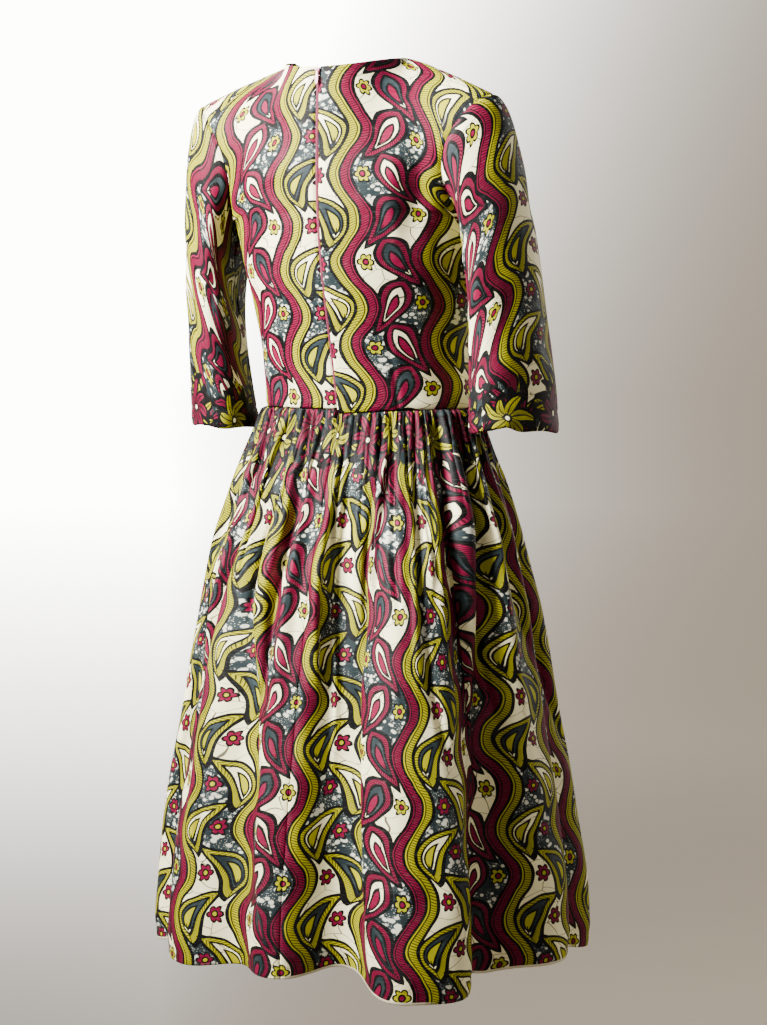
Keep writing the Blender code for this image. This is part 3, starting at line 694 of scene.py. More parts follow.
def makePrintGroup():
    # the wax print: vine bands, slate and cream cells between them, leaves, rosettes and a flower border
    soft = 0.00022
    tree, source, sink = newGroup(
        "waxPrintPattern",
        [("Cloth", "NodeSocketVector"), ("Edges", "NodeSocketVector")],
        [("Color", "NodeSocketColor"), ("Ink", "NodeSocketFloat")],
    )
    u, v, _ = parts(tree, source.outputs["Cloth"])
    border, hem, _ = parts(tree, source.outputs["Edges"])

    # hand-cut outlines wander a little
    coarse = coloured(tree, source.outputs["Cloth"], 27.0, 1.0)
    wander, wanderAcross, drift = parts(tree, coarse)
    patches, blotches, leafy = parts(tree, coloured(tree, source.outputs["Cloth"], 52.0, 1.0))
    shade, fade, _ = parts(tree, coloured(tree, source.outputs["Cloth"], 11.0, 2.0))
    wobble = (wander - 0.5) * 0.0062
    wobbleAcross = (wanderAcross - 0.5) * 0.0062
    x = u + wobbleAcross
    y = v + wobble
    half, tier, band = waxPrint["halfRepeat"], waxPrint["tier"], waxPrint["bandShare"]

    swing = (y * (2 * math.pi / tier)).sin() * waxPrint["swing"]
    across = x / half + swing
    columnNumber = across.floor()
    share = across - columnNumber
    parity = (columnNumber * 0.5).fraction() * 2.0

    # cells between the bands: slate and cream by turns, half a step lower in every other column
    aside = (share - (band + 0.5)) * half
    slope = (aside * 34.0).sin() * 0.16
    level = y / tier + parity * 0.5 + slope
    cellNumber = level.floor()
    up = (level - cellNumber - 0.5) * tier
    isSlate = (cellNumber * 0.5).fraction() * 2.0
    cellEdge = (up.abs() - tier / 2) * -1.0

    flatVector = vectorOf(tree, x, y * 1.45)
    blobs = Wire(tree, cells(tree, flatVector, 128.0, "F1").outputs["Distance"])
    bubbleMask = blobs.ramp(patches * 0.74 + 0.06, patches * 0.74 - 0.06)
    smallBlobs = Wire(tree, cells(tree, flatVector, 300.0, "F1", "2D").outputs["Distance"])
    bubbleMask = bubbleMask.larger(smallBlobs.below(0.13, 0.04) * blotches.ramp(0.42, 0.55))
    ground = painted(tree, waxPrint["slate"], waxPrint["slateLight"], blotches.ramp(0.35, 0.75) * 0.7)
    slateGround = painted(tree, ground, waxPrint["bubble"], bubbleMask)
    veinX = x + (drift - 0.5) * 0.030 + (y * 70.0).sin() * 0.005
    veinVector = vectorOf(tree, veinX, y * 2.3 + (x * 85.0).sin() * 0.011)
    veins = Wire(tree, cells(tree, veinVector, 24.0, "DISTANCE_TO_EDGE", "2D").outputs["Distance"])
    creamGround = painted(tree, waxPrint["cream"], (0.66, 0.58, 0.33), shade.ramp(0.45, 0.9) * 0.35)
    creamGround = painted(tree, creamGround, (0.010, 0.009, 0.008), veins.below(0.015, 0.006) * 0.9)
    colour = painted(tree, creamGround, slateGround, isSlate)
    inverse = painted(tree, ground, creamGround, isSlate)
    ink = cellEdge.below(0.0018, soft * 2)

    # two curved leaves to each cell, a step apart, each growing out of the band beside it
    bright = painted(tree, waxPrint["lime"], waxPrint["crimson"], parity)
    deep = painted(tree, waxPrint["limeDeep"], waxPrint["crimsonDeep"], parity)
    other = painted(tree, waxPrint["crimson"], waxPrint["lime"], parity)
    for side, lift in ((-1.0, 0.25), (1.0, 0.75)):
        leafUp = ((y / tier + parity * 0.5 + lift).fraction() - 0.5) * tier
        leafAside = aside * side - 0.011
        along = leafAside * -0.53 + leafUp * 0.848
        thwart = leafAside * 0.848 + leafUp * 0.53 + along * along * 7.5 - 0.0034
        leaf = almond(thwart, along, 0.0170, 0.0350)
        within = leaf.below(0.0, soft)
        fill = painted(tree, bright, deep, leaf.ramp(-0.0035, -0.0080) * 0.5)
        colour = painted(tree, colour, fill, within)
        ink = ink * leaf.ramp(-soft, soft)
        comb = (((along + thwart.abs() * 0.5) / 0.0027).fraction() - 0.5).abs()
        ring = leaf.ramp(-0.0066, -0.0062) * leaf.below(-0.0024, soft)
        ink = ink.larger(comb.below(0.17, 0.06) * ring * 0.92)
        ink = ink.larger(leaf.line(0.0, 0.0020, soft))
        ink = ink.larger(leaf.line(-0.0076, 0.0013, soft))
        colour = painted(tree, colour, inverse, leaf.below(-0.0084, soft))
        seed = almond(thwart, along + 0.004, 0.0050, 0.0150)
        colour = painted(tree, colour, bright, seed.below(0.0, soft))
        ink = ink.larger(seed.line(0.0, 0.0012, soft))
        rib = thwart.line(0.0, 0.0006, soft) * leaf.below(-0.001, soft)
        ink = ink.larger(rib * along.ramp(-0.012, -0.0125))
        # a rosette beside each leaf
        across = aside * side + 0.0185
        reach = (across * across + leafUp * leafUp).root()
        petal = ((across.atan2(leafUp) * 3.0).sin().abs() * 0.0034) + 0.0060
        rosette = reach - petal
        colour = painted(tree, colour, other, rosette.below(0.0, soft))
        ink = ink * rosette.ramp(-soft, soft)
        ink = ink.larger(rosette.line(0.0, 0.0012, soft))
        colour = painted(tree, colour, bright, reach.below(0.0030, soft))
        ink = ink.larger(reach.line(0.0032, 0.0009, soft))

    # vine bands: two side by side, each with a comb of fine lines from one edge
    for start, fillTop, fillDeep in ((0.0, other, None), (band, bright, deep)):
        place = (share - start) * half
        width = band * half
        within = place.ramp(-soft, soft) * place.below(width, soft)
        colour = painted(tree, colour, fillTop, within)
        if fillDeep is not None:
            colour = painted(tree, colour, fillDeep, within * place.ramp(width * 0.5, width * 1.1) * 0.45)
        ink = ink * (within * -1.0 + 1.0)
        teeth = (((y + x * 0.35) / 0.0027).fraction() - 0.5).abs()
        combed = teeth.below(0.19, 0.07) * place.ramp(width * 0.36, width * 0.40)
        ink = ink.larger(combed * place.below(width * 0.90, soft) * 0.9)
        ink = ink.larger(place.line(width * 0.30, 0.0009, soft) * 0.95)
    for at, thick in ((0.0, 0.0021), (band, 0.0016), (2 * band, 0.0021), (1.0, 0.0021)):
        ink = ink.larger(((share - at) * half).line(0.0, thick, soft))

    # border of spread palms, lime and crimson by turns: long petals behind shorter ones
    onBorder = border.ramp(-0.5, -0.4)
    lowEdge = (u * 68.0).sin() * 0.008 + 0.056
    darkGround = (border - lowEdge).below(0.0, 0.003) * leafy.ramp(0.40, 0.46) * onBorder
    colour = painted(tree, colour, waxPrint["slate"], darkGround)
    ink = ink * (darkGround * -0.8 + 1.0)
    palmX = u / (half * 0.82) + 0.35
    palmNumber = palmX.floor()
    palmParity = (palmNumber * 0.5).fraction() * 2.0
    px = (palmX - palmNumber - 0.5) * (half * 0.82) + wobbleAcross * 1.2
    py = border - 0.027 - (palmNumber * 2.1).sin() * 0.007 + wobble * 1.2
    reach = (px * px + py * py).root()
    turn = px.atan2(py) + (palmNumber * 1.7).sin() * 0.5
    for layer, count, width, longest in ((0, 11.0, 0.0052, 0.040), (1, 7.0, 0.0064, 0.033)):
        step = 2 * math.pi / count
        spread = (turn + reach * (20.0 - 40.0 * layer)) / step + 0.5 * (1 - layer)
        petal = (spread + 0.5).floor()
        lean = (spread - petal) * step
        across = (reach * lean.sin()).abs()
        size = ((petal * 2.3 + palmNumber * 1.3).sin() * 0.22 + 1.0) * longest
        along = (reach * lean.reckon("COSINE")) / size - 0.52
        outline = ((across / width) * (across / width) + along * along * 4.6).root() * width - width
        byTurns = (palmParity - (1 - layer)).abs()
        palmFill = painted(tree, waxPrint["lime"], waxPrint["crimson"], byTurns)
        palmDeep = painted(tree, waxPrint["limeDeep"], waxPrint["crimsonDeep"], byTurns)
        inside = outline.below(0.0, soft) * onBorder
        petalColour = painted(tree, palmFill, palmDeep, reach.ramp(0.024, 0.008) * 0.8)
        colour = painted(tree, colour, petalColour, inside)
        ink = ink * (inside * -1.0 + 1.0)
        ink = ink.larger(outline.line(0.0008, 0.0021, soft) * onBorder)
        ink = ink.larger(across.below(0.0008, soft) * inside)
        ribs = (((reach + across * 1.4) / 0.0026).fraction() - 0.5).abs().below(0.16, 0.07)
        ink = ink.larger(ribs * outline.below(-0.0020, soft) * onBorder * 0.85)
    colour = painted(tree, colour, waxPrint["cream"], reach.below(0.0034, soft) * onBorder)
    ink = ink * (reach.below(0.0034, soft) * onBorder * -1.0 + 1.0)
    ink = ink.larger(reach.line(0.0042, 0.0013, soft) * onBorder)

    # pale selvage along the hem
    selvage = hem.below(0.0030, 0.0004) * ((u * 17.0).sin() + (u * 41.0).sin() * 0.5).ramp(-0.5, 0.1)
    colour = painted(tree, colour, waxPrint["selvage"], selvage)
    ink = ink * (selvage * -1.0 + 1.0)
    inkColour = painted(tree, waxPrint["ink"], (0.005, 0.006, 0.007), fade.ramp(0.4, 0.8))
    colour = painted(tree, colour, inkColour, ink)
    tree.links.new(colour, sink.inputs["Color"])
    tree.links.new(ink.socket, sink.inputs["Ink"])
    return tree


def makeWeaveGroup():
    # plain weave: crossing threads as two sine ridges, with slubs, as a height from 0 to 1
    tree, source, sink = newGroup(
        "plainWeave",
        [("Cloth", "NodeSocketVector"), ("Threads", "NodeSocketFloat")],
        [("Height", "NodeSocketFloat"), ("Slub", "NodeSocketFloat")],
    )
    threads = Wire(tree, source.outputs["Threads"])
    u, v, _ = parts(tree, source.outputs["Cloth"])
    height = ((u * threads).sin() + (v * threads).sin()) * 0.25 + 0.5
    slub = noise(tree, vectorOf(tree, u * 0.12, v), 900.0, 1.0, "2D")
    tree.links.new((height * 0.75 + slub * 0.25).socket, sink.inputs["Height"])
    tree.links.new(slub.socket, sink.inputs["Slub"])
    return tree


def newMaterial(name):
    material = bpy.data.materials.new(name)
    material.use_nodes = True
    return material, material.node_tree, material.node_tree.nodes["Principled BSDF"]


def groupNode(tree, group):
    node = tree.nodes.new("ShaderNodeGroup")
    node.node_tree = group
    return node


def uvNode(tree, name):
    node = tree.nodes.new("ShaderNodeUVMap")
    node.uv_map = name
    return node.outputs[0]


def bumped(tree, shader, height, distance, strength):
    node = tree.nodes.new("ShaderNodeBump")
    node.inputs["Distance"].default_value = distance
    node.inputs["Strength"].default_value = strength
    tree.links.new(height, node.inputs["Height"])
    tree.links.new(node.outputs["Normal"], shader.inputs["Normal"])


def makeCotton():
    # printed plain-weave cotton with the slight polish of a wax print
    material, tree, shader = newMaterial("cottonPrint")
    flat, edges = uvNode(tree, "flatCloth"), uvNode(tree, "clothEdges")
    pattern = groupNode(tree, printGroup)
    tree.links.new(flat, pattern.inputs["Cloth"])
    tree.links.new(edges, pattern.inputs["Edges"])
    weave = groupNode(tree, weaveGroup)
    tree.links.new(flat, weave.inputs["Cloth"])
    weave.inputs["Threads"].default_value = 2 * math.pi / 0.00075
    slub = Wire(tree, weave.outputs["Slub"])
    tint = painted(tree, pattern.outputs["Color"], (0.80, 0.77, 0.62), slub.ramp(0.54, 0.76) * 0.018)
    tree.links.new(tint, shader.inputs["Base Color"])
    inkWire = Wire(tree, pattern.outputs["Ink"])
    crumple = noise(tree, flat, 38.0, 3.0, "2D")
    tree.links.new((inkWire * 0.06 + crumple * 0.12 + 0.48).socket, shader.inputs["Roughness"])
    height = Wire(tree, weave.outputs["Height"]) * 0.10 + crumple * 0.8
    bumped(tree, shader, height.socket, 0.0012, 0.55)
    shader.inputs["Specular IOR Level"].default_value = 0.09
    return material


def makeThreadMaterial():
    # twisted polyester thread, its strands as fine slanting ridges
    material, tree, shader = newMaterial("sewingThread")
    coords = tree.nodes.new("ShaderNodeTexCoord")
    x, y, z = parts(tree, coords.outputs["Object"])
    strand = ((x + y + z * 0.7) * (2 * math.pi / 0.0005)).sin() * 0.5 + 0.5
    # painted shade and highlight: darker in the grooves between strands, lighter on their crests, following
    # the ridges
    colour = painted(tree, (0.010, 0.010, 0.011), (0.028, 0.027, 0.026), strand)
    tree.links.new(colour, shader.inputs["Base Color"])
    shader.inputs["Roughness"].default_value = 0.75
    shader.inputs["Specular IOR Level"].default_value = 0.15
    bumped(tree, shader, strand.socket, 0.0001, 0.5)
    return material


def makeCoilMaterial():
    # drawn nylon of the zip's coil, with a faint grain along it
    material, tree, shader = newMaterial("zipCoilNylon")
    coords = tree.nodes.new("ShaderNodeTexCoord")
    grain = noise(tree, coords.outputs["Object"], 1800.0, 2.0)
    colour = painted(tree, (0.10, 0.006, 0.022), (0.17, 0.015, 0.042), grain)
    tree.links.new(colour, shader.inputs["Base Color"])
    tree.links.new((grain * 0.15 + 0.30).socket, shader.inputs["Roughness"])
    bumped(tree, shader, grain.socket, 0.0001, 0.3)
    return material


dressLook = bpy.data.collections.new("dressLook")
stageSet = bpy.data.collections.new("stageSet")
for group in (dressLook, stageSet):
    bpy.context.scene.collection.children.link(group)
printGroup = makePrintGroup()
weaveGroup = makeWeaveGroup()
cottonPrint = makeCotton()
sewingThread = makeThreadMaterial()
zipCoilNylon = makeCoilMaterial()
print("materials made")


def makeBodice():
    # both backs, on finer grids than the solids, with darts, seams and creases
    half = bodiceHalf(back=True)
    rowsAt, columnsAt = places(half.shape[0] - 1, 5), places(half.shape[1] - 1, 6)
    onNeck = columnsAt < bodice["neckColumns"]
    backCreases = {
        1: (
            Crease(0.030, 0.345, 0.075, 0.300, 0.010, -0.0022),
            Crease(0.034, 0.300, 0.070, 0.262, 0.009, 0.0016),
            Crease(0.020, 0.235, 0.052, 0.222, 0.008, -0.0012),
            Crease(0.118, 0.330, 0.112, 0.200, 0.012, -0.0040),
            Crease(0.100, 0.300, 0.098, 0.170, 0.010, 0.0024),
            Crease(0.060, 0.030, 0.100, 0.048, 0.008, -0.0012),
            Crease(0.090, 0.100, 0.135, 0.150, 0.010, -0.0016),
        ),
        -1: (
            Crease(0.112, 0.350, 0.104, 0.190, 0.013, -0.0046),
            Crease(0.094, 0.320, 0.092, 0.180, 0.011, 0.0026),
            Crease(0.124, 0.215, 0.150, 0.180, 0.009, -0.0022),
            Crease(0.028, 0.300, 0.050, 0.240, 0.012, -0.0012),
            Crease(0.070, 0.040, 0.112, 0.062, 0.009, -0.0012),
            Crease(0.022, 0.090, 0.056, 0.072, 0.009, 0.0010),
        ),
    }
    sides = ((1, "bodiceBackLeft", "bodice_back_left"), (-1, "bodiceBackRight", "bodice_back_right"))
    for side, name, node in sides:
        base = half.copy()
        apart = np.clip((base[..., 2] - bodice["lipsMeetZ"]) / 0.05, 0, 1)
        apart = bodice["lipGapBelow"] + (bodice["lipGap"] - bodice["lipGapBelow"]) * apart
        base[..., 0] += apart * np.clip(1 - columnShares()[None] / bodice["neckShare"], 0, 1) ** 2
        if side < 0:
            lowRows = np.clip(1 - rowNumbers()[:, None] / 2, 0, 1)
            base[..., 2] -= waistLowering(columnShares())[None] * lowRows
        points = finer(base * (side, 1, 1), rowsAt, columnsAt)
        normals = gridNormals(points, (0, -0.03, -0.25))
        flat = np.stack([arcs(points, axis=1), arcs(points, axis=0)], axis=-1)
        rise = creased(flat, backCreases[side]) + ripple(flat, 11 + side, 0.07, 0.0008)
        # the edge that is stitched to the zip turns in more than the other seams do
        rise += seamShape(flat, onNeck) + seamDip(flat[..., 0], 0.0016, 0.0022)
        rise += dartShape(flat, 0.073, 0.118)
        shaped = points + normals * rise[..., None]
        nearZip = np.abs(points[..., 0]) < 0.003
        shaped[..., 1] = np.where(nearZip, np.minimum(shaped[..., 1], points[..., 1]), shaped[..., 1])
        # the two backs were cut from different places of the print
        flat = flat * (side, 1) + ((0.062, 0.012) if side > 0 else (0.052, 0.0))
        clothPiece(
            name, node, shaped, flat, offBorder(flat), normals, bodice["clothThickness"],
        )


def offBorder(flat):
    # distances that keep both the flower border and the selvage away
    return np.ones(flat.shape) * (-1, 1)


def seamShape(flat, onNeck):
    # dips at the waist, side and shoulder seams, and a narrower turned edge at the neckline
    fromTop = flat[-1:, :, 1] - flat[..., 1]
    rise = seamDip(flat[..., 1]) + seamDip(flat[:, -1:, 0] - flat[..., 0])
    return rise + np.where(onNeck[None], seamDip(fromTop, 0.0009, 0.0012), seamDip(fromTop))


def dartShape(flat, place, length):
    # waist dart: a stitched valley with a low roll beside it, both ending in a soft point
    share = np.clip(1 - flat[..., 1] / length, 0, 1)
    aside = flat[..., 0] - place + 0.006 * (1 - share)
    valley = -0.0017 * bell(aside, 0.0026) * share**0.6
    return valley + 0.0009 * bell(aside - 0.006, 0.005) * share


def makeBodiceFront():
    # the front in one piece: its half grid and the mirror image, joined along the middle
    half = bodiceHalf(back=False)
    base = np.concatenate([(half * (-1, 1, 1))[:, :0:-1], half], axis=1)
    rowsAt = places(base.shape[0] - 1, 5)
    columnsAt = places(base.shape[1] - 1, 6)
    points = finer(base, rowsAt, columnsAt)
    normals = gridNormals(points, (0, -0.03, -0.25))
    fromLeft = np.stack([arcs(points, axis=1), arcs(points, axis=0)], axis=-1)
    flat = fromLeft - fromLeft[:, [len(columnsAt) // 2]] * (1, 0)
    frontCreases = (
        Crease(-0.118, 0.230, -0.080, 0.170, 0.010, -0.0026),
        Crease(0.122, 0.236, 0.086, 0.172, 0.011, -0.0028),
        Crease(-0.108, 0.262, -0.062, 0.226, 0.009, 0.0016),
        Crease(0.104, 0.270, 0.058, 0.236, 0.010, 0.0015),
        Crease(-0.052, 0.040, 0.030, 0.052, 0.009, -0.0010),
        Crease(0.020, 0.088, 0.092, 0.070, 0.010, -0.0012),
        Crease(-0.100, 0.070, -0.060, 0.100, 0.009, -0.0013),
        Crease(0.030, 0.290, 0.062, 0.322, 0.010, -0.0012),
        Crease(-0.034, 0.284, -0.070, 0.330, 0.010, -0.0014),
    )
    rise = creased(flat, frontCreases) + ripple(flat, 5, 0.08, 0.0008)
    onNeck = np.abs(columnsAt - (base.shape[1] - 1) // 2) < bodice["neckColumns"]
    rise += seamShape(fromLeft, onNeck) + seamDip(fromLeft[..., 0])
    for side in (-1, 1):
        rise += dartShape(flat * (side, 1), 0.070, 0.110)
    shaped = points + normals * rise[..., None]
    clothPiece(
        "bodiceFront", "bodice_front", shaped, flat + (0.0445, 0.0), offBorder(flat), normals,
        bodice["clothThickness"],
    )


makeBodice()
makeBodiceFront()
print("bodice made")


def sleeveTube(angle, share):
    # rails from the armhole to the cuff: cubic curves that leave along a lead and end going down
    share = share[..., None]
    cos, sin = np.cos(angle)[..., None], np.sin(angle)[..., None]
    start = armhole(angle)
    turn = sleeve["cuffTurn"]
    outwards = np.array([math.cos(turn), math.sin(turn), 0])
    backwards = np.array([-math.sin(turn), math.cos(turn), 0])
    end = np.array(sleeve["cuffCentre"]) + sleeve["cuffShort"] * cos * outwards
    end = end + sleeve["cuffLong"] * sin * backwards
    over = (1 + cos) / 2
    lead = over * np.array(sleeve["topLead"]) + (1 - over) * np.array(sleeve["underLead"])
    lead = lead + sin * np.array([0.25, 0.15, 0.0]) * np.where(sin > 0, 1, (-1, 1, 1))
    lead = lead * (over * sleeve["topReach"] + (1 - over) * sleeve["underReach"])
    reach = np.linalg.norm(end - start, axis=-1, keepdims=True)
    finish = np.array([0.0, -0.10, -0.80]) * reach
    return (
        (2 * share**3 - 3 * share**2 + 1) * start
        + (share**3 - 2 * share**2 + share) * lead
        + (3 * share**2 - 2 * share**3) * end
        + (share**3 - share**2) * finish
    )


def makeSleeve(side, name, node, creases, seed):
    turn = np.linspace(-math.pi, math.pi, sleeve["columns"] + 1)
    down = places(12, 9) / 12
    angle, share = np.meshgrid(turn, down)
    points = sleeveTube(angle, share)
    normals = gridNormals(points, points.mean(axis=1, keepdims=True))
    across = arcs(points, axis=1)
    along = arcs(points, axis=0)
    # the flat width is taken half way down, where the cloth is neither eased nor taken in
    width = across[len(down) // 2]
    flatU = (width - width[-1] / 2)[None] * np.ones_like(along)
    flat = np.stack([flatU, along], axis=-1)
    rise = creased(flat, creases) + ripple(flat, seed, 0.08, 0.0010)
    rise += seamDip(along) + seamDip(across) + seamDip(across[:, -1:] - across)
    toCuff = along[-1:] - along
    rise += seamDip(toCuff, 0.0010, 0.0014)
    # the turned-up cuff stands out a little and its stitched line draws in
    rise += 0.0006 * bell(toCuff - 0.010, 0.007) - 0.0007 * bell(toCuff - 0.022, 0.0022)
    nearCuff = bell(toCuff, 0.030)
    sag = 0.0016 * np.sin(2 * angle + 0.6 * seed) + 0.0012 * np.sin(5 * angle + seed)
    corner = np.exp(-(((angle - 0.75) / 0.22) ** 2) - (toCuff / 0.016) ** 2) * (side < 0)
    rise += 0.0034 * corner
    shaped = points + normals * rise[..., None]
    shaped[..., 2] += sag * nearCuff + 0.0052 * corner
    shaped = shaped * (side, 1, 1)
    edges = np.ones(flat.shape)
    edges[..., 0] = toCuff + 0.012
    mirrored = normals * (side, 1, 1)
    outFlat = np.stack([flat[..., 0] * side + 0.05, -flat[..., 1]], axis=-1)
    fromCuff = -np.array([0.022, 0.017, 0.012, 0.007, 0.0015])
    rowOf = np.interp(fromCuff, -toCuff[:, len(turn) // 2], np.arange(len(down)))
    cuffTurn = turnUp(name + "TurnUp", shaped, outFlat, edges, mirrored, rowOf, 0.0011)
    stitched = [smoothRows(grid, rowOf[:1])[0] for grid in (shaped, mirrored)]
    stitches = stitchRow(name + "Stitches", *stitched, 0.0030)
    clothPiece(
        name, node, shaped, outFlat, edges, mirrored, bodice["clothThickness"],
    )


rightSleeveCreases = (
    Crease(-0.060, 0.050, -0.020, 0.150, 0.012, -0.0022),
    Crease(0.100, 0.060, 0.060, 0.150, 0.012, -0.0030),
    Crease(0.130, 0.040, 0.100, 0.110, 0.009, 0.0022),
    Crease(0.060, 0.150, 0.020, 0.270, 0.014, -0.0024),
    Crease(0.110, 0.160, 0.080, 0.330, 0.013, -0.0026),
    Crease(-0.040, 0.200, -0.010, 0.350, 0.014, -0.0022),
    Crease(-0.100, 0.080, -0.080, 0.220, 0.012, -0.0028),
    Crease(0.150, 0.050, 0.135, 0.090, 0.007, -0.0026),
    Crease(0.000, 0.290, -0.050, 0.330, 0.010, 0.0012),
)
leftSleeveCreases = (
    Crease(0.090, 0.050, 0.050, 0.140, 0.012, -0.0028),
    Crease(0.120, 0.080, 0.090, 0.200, 0.011, -0.0030),
    Crease(0.040, 0.160, 0.060, 0.300, 0.014, -0.0024),
    Crease(-0.030, 0.060, -0.060, 0.180, 0.013, -0.0024),
    Crease(-0.100, 0.120, -0.070, 0.300, 0.013, -0.0026),
    Crease(0.000, 0.220, 0.020, 0.350, 0.012, -0.0018),
    Crease(0.140, 0.200, 0.120, 0.330, 0.010, 0.0020),
)
makeSleeve(-1, "sleeveRight", "sleeve_right", rightSleeveCreases, 21)
makeSleeve(1, "sleeveLeft", "sleeve_left", leftSleeveCreases, 22)
print("sleeves made")


def foldShape(angle, drop):
    # gathers, middle folds and hem folds, each a wave round the skirt whose height changes with the drop
    drops = tableColumn(swells, "drop")
    row = np.interp(drop, drops, np.arange(len(drops)))
    gathers, middle, hem = (
        np.maximum(smoothRows(tableColumn(swells, name), row), 0) for name in Swell._fields[1:]
    )
    count = skirt["gathers"]
    step = (angle % (2 * math.pi)) / (math.pi / count)
    shifted = step + 0.50 * np.sin(5 * angle + 0.8) + 0.30 * np.sin(13 * angle + 2.1)
    shifted = shifted + 0.22 * np.sin(29 * angle)
    uneven = 1 + 0.28 * np.sin(step * 0.83) + 0.18 * np.sin(step * 1.57 + 1.0)
    out = gathers * np.abs(np.sin(shifted * math.pi / 2)) ** 0.9 * uneven
    centre = (angle + math.pi) % (2 * math.pi) - math.pi
    calm = 1 - bell(centre, skirt["zipCalm"])
    calm = calm + (1 - calm) * np.clip((drop - skirt["zipEnd"]) / 0.1, 0, 1)
    out = out * calm
    wander = 0.9 * np.sin(3 * angle + 1.0) + 0.6 * np.sin(7 * angle + 0.4)
    wave = 0.5 - 0.5 * np.cos(skirt["middleFolds"] * angle + wander)
    out = out + middle * calm * wave**1.3 * (1 + 0.35 * np.sin(5 * angle + 2.0))
    sideways = np.zeros_like(out)
    dip = np.zeros_like(out)
    for fold in hemFolds:
        away = np.degrees(angle) - fold.angle
        away = ((away + 180) % 360 - 180) / fold.reach
        crest = np.exp(-np.abs(away) ** fold.squareness)
        out = out + hem * fold.depth * crest
        sideways = sideways + hem * fold.spread * away * crest
        dip = dip + fold.dip * crest
    return out, sideways, dip


def skirtPoints(angle, drop):
    # oval rings, with the fold shape added along and across their outward direction
    drops = tableColumn(rings, "drop")
    row = np.interp(drop, drops, np.arange(len(rings)))
    halfWidth, back, front = (smoothRows(tableColumn(rings, name), row) for name in Ring._fields[1:])
    depth = np.where(np.cos(angle) > 0, back, front)
    sin, cos = np.sin(angle), np.cos(angle)
    outDir = unit(np.stack([-sin / halfWidth, cos / depth, np.zeros_like(sin)], axis=-1))
    alongDir = np.stack([-outDir[..., 1], outDir[..., 0], np.zeros_like(sin)], axis=-1)
    out, sideways, dip = foldShape(angle, drop)
    z = bodice["waistZ"] - drop - dip * (drop / skirt["length"]) ** 2
    ring = np.stack([-halfWidth * sin, bodice["waistY"] + depth * cos, z], axis=-1)
    return ring + out[..., None] * outDir + sideways[..., None] * alongDir, outDir


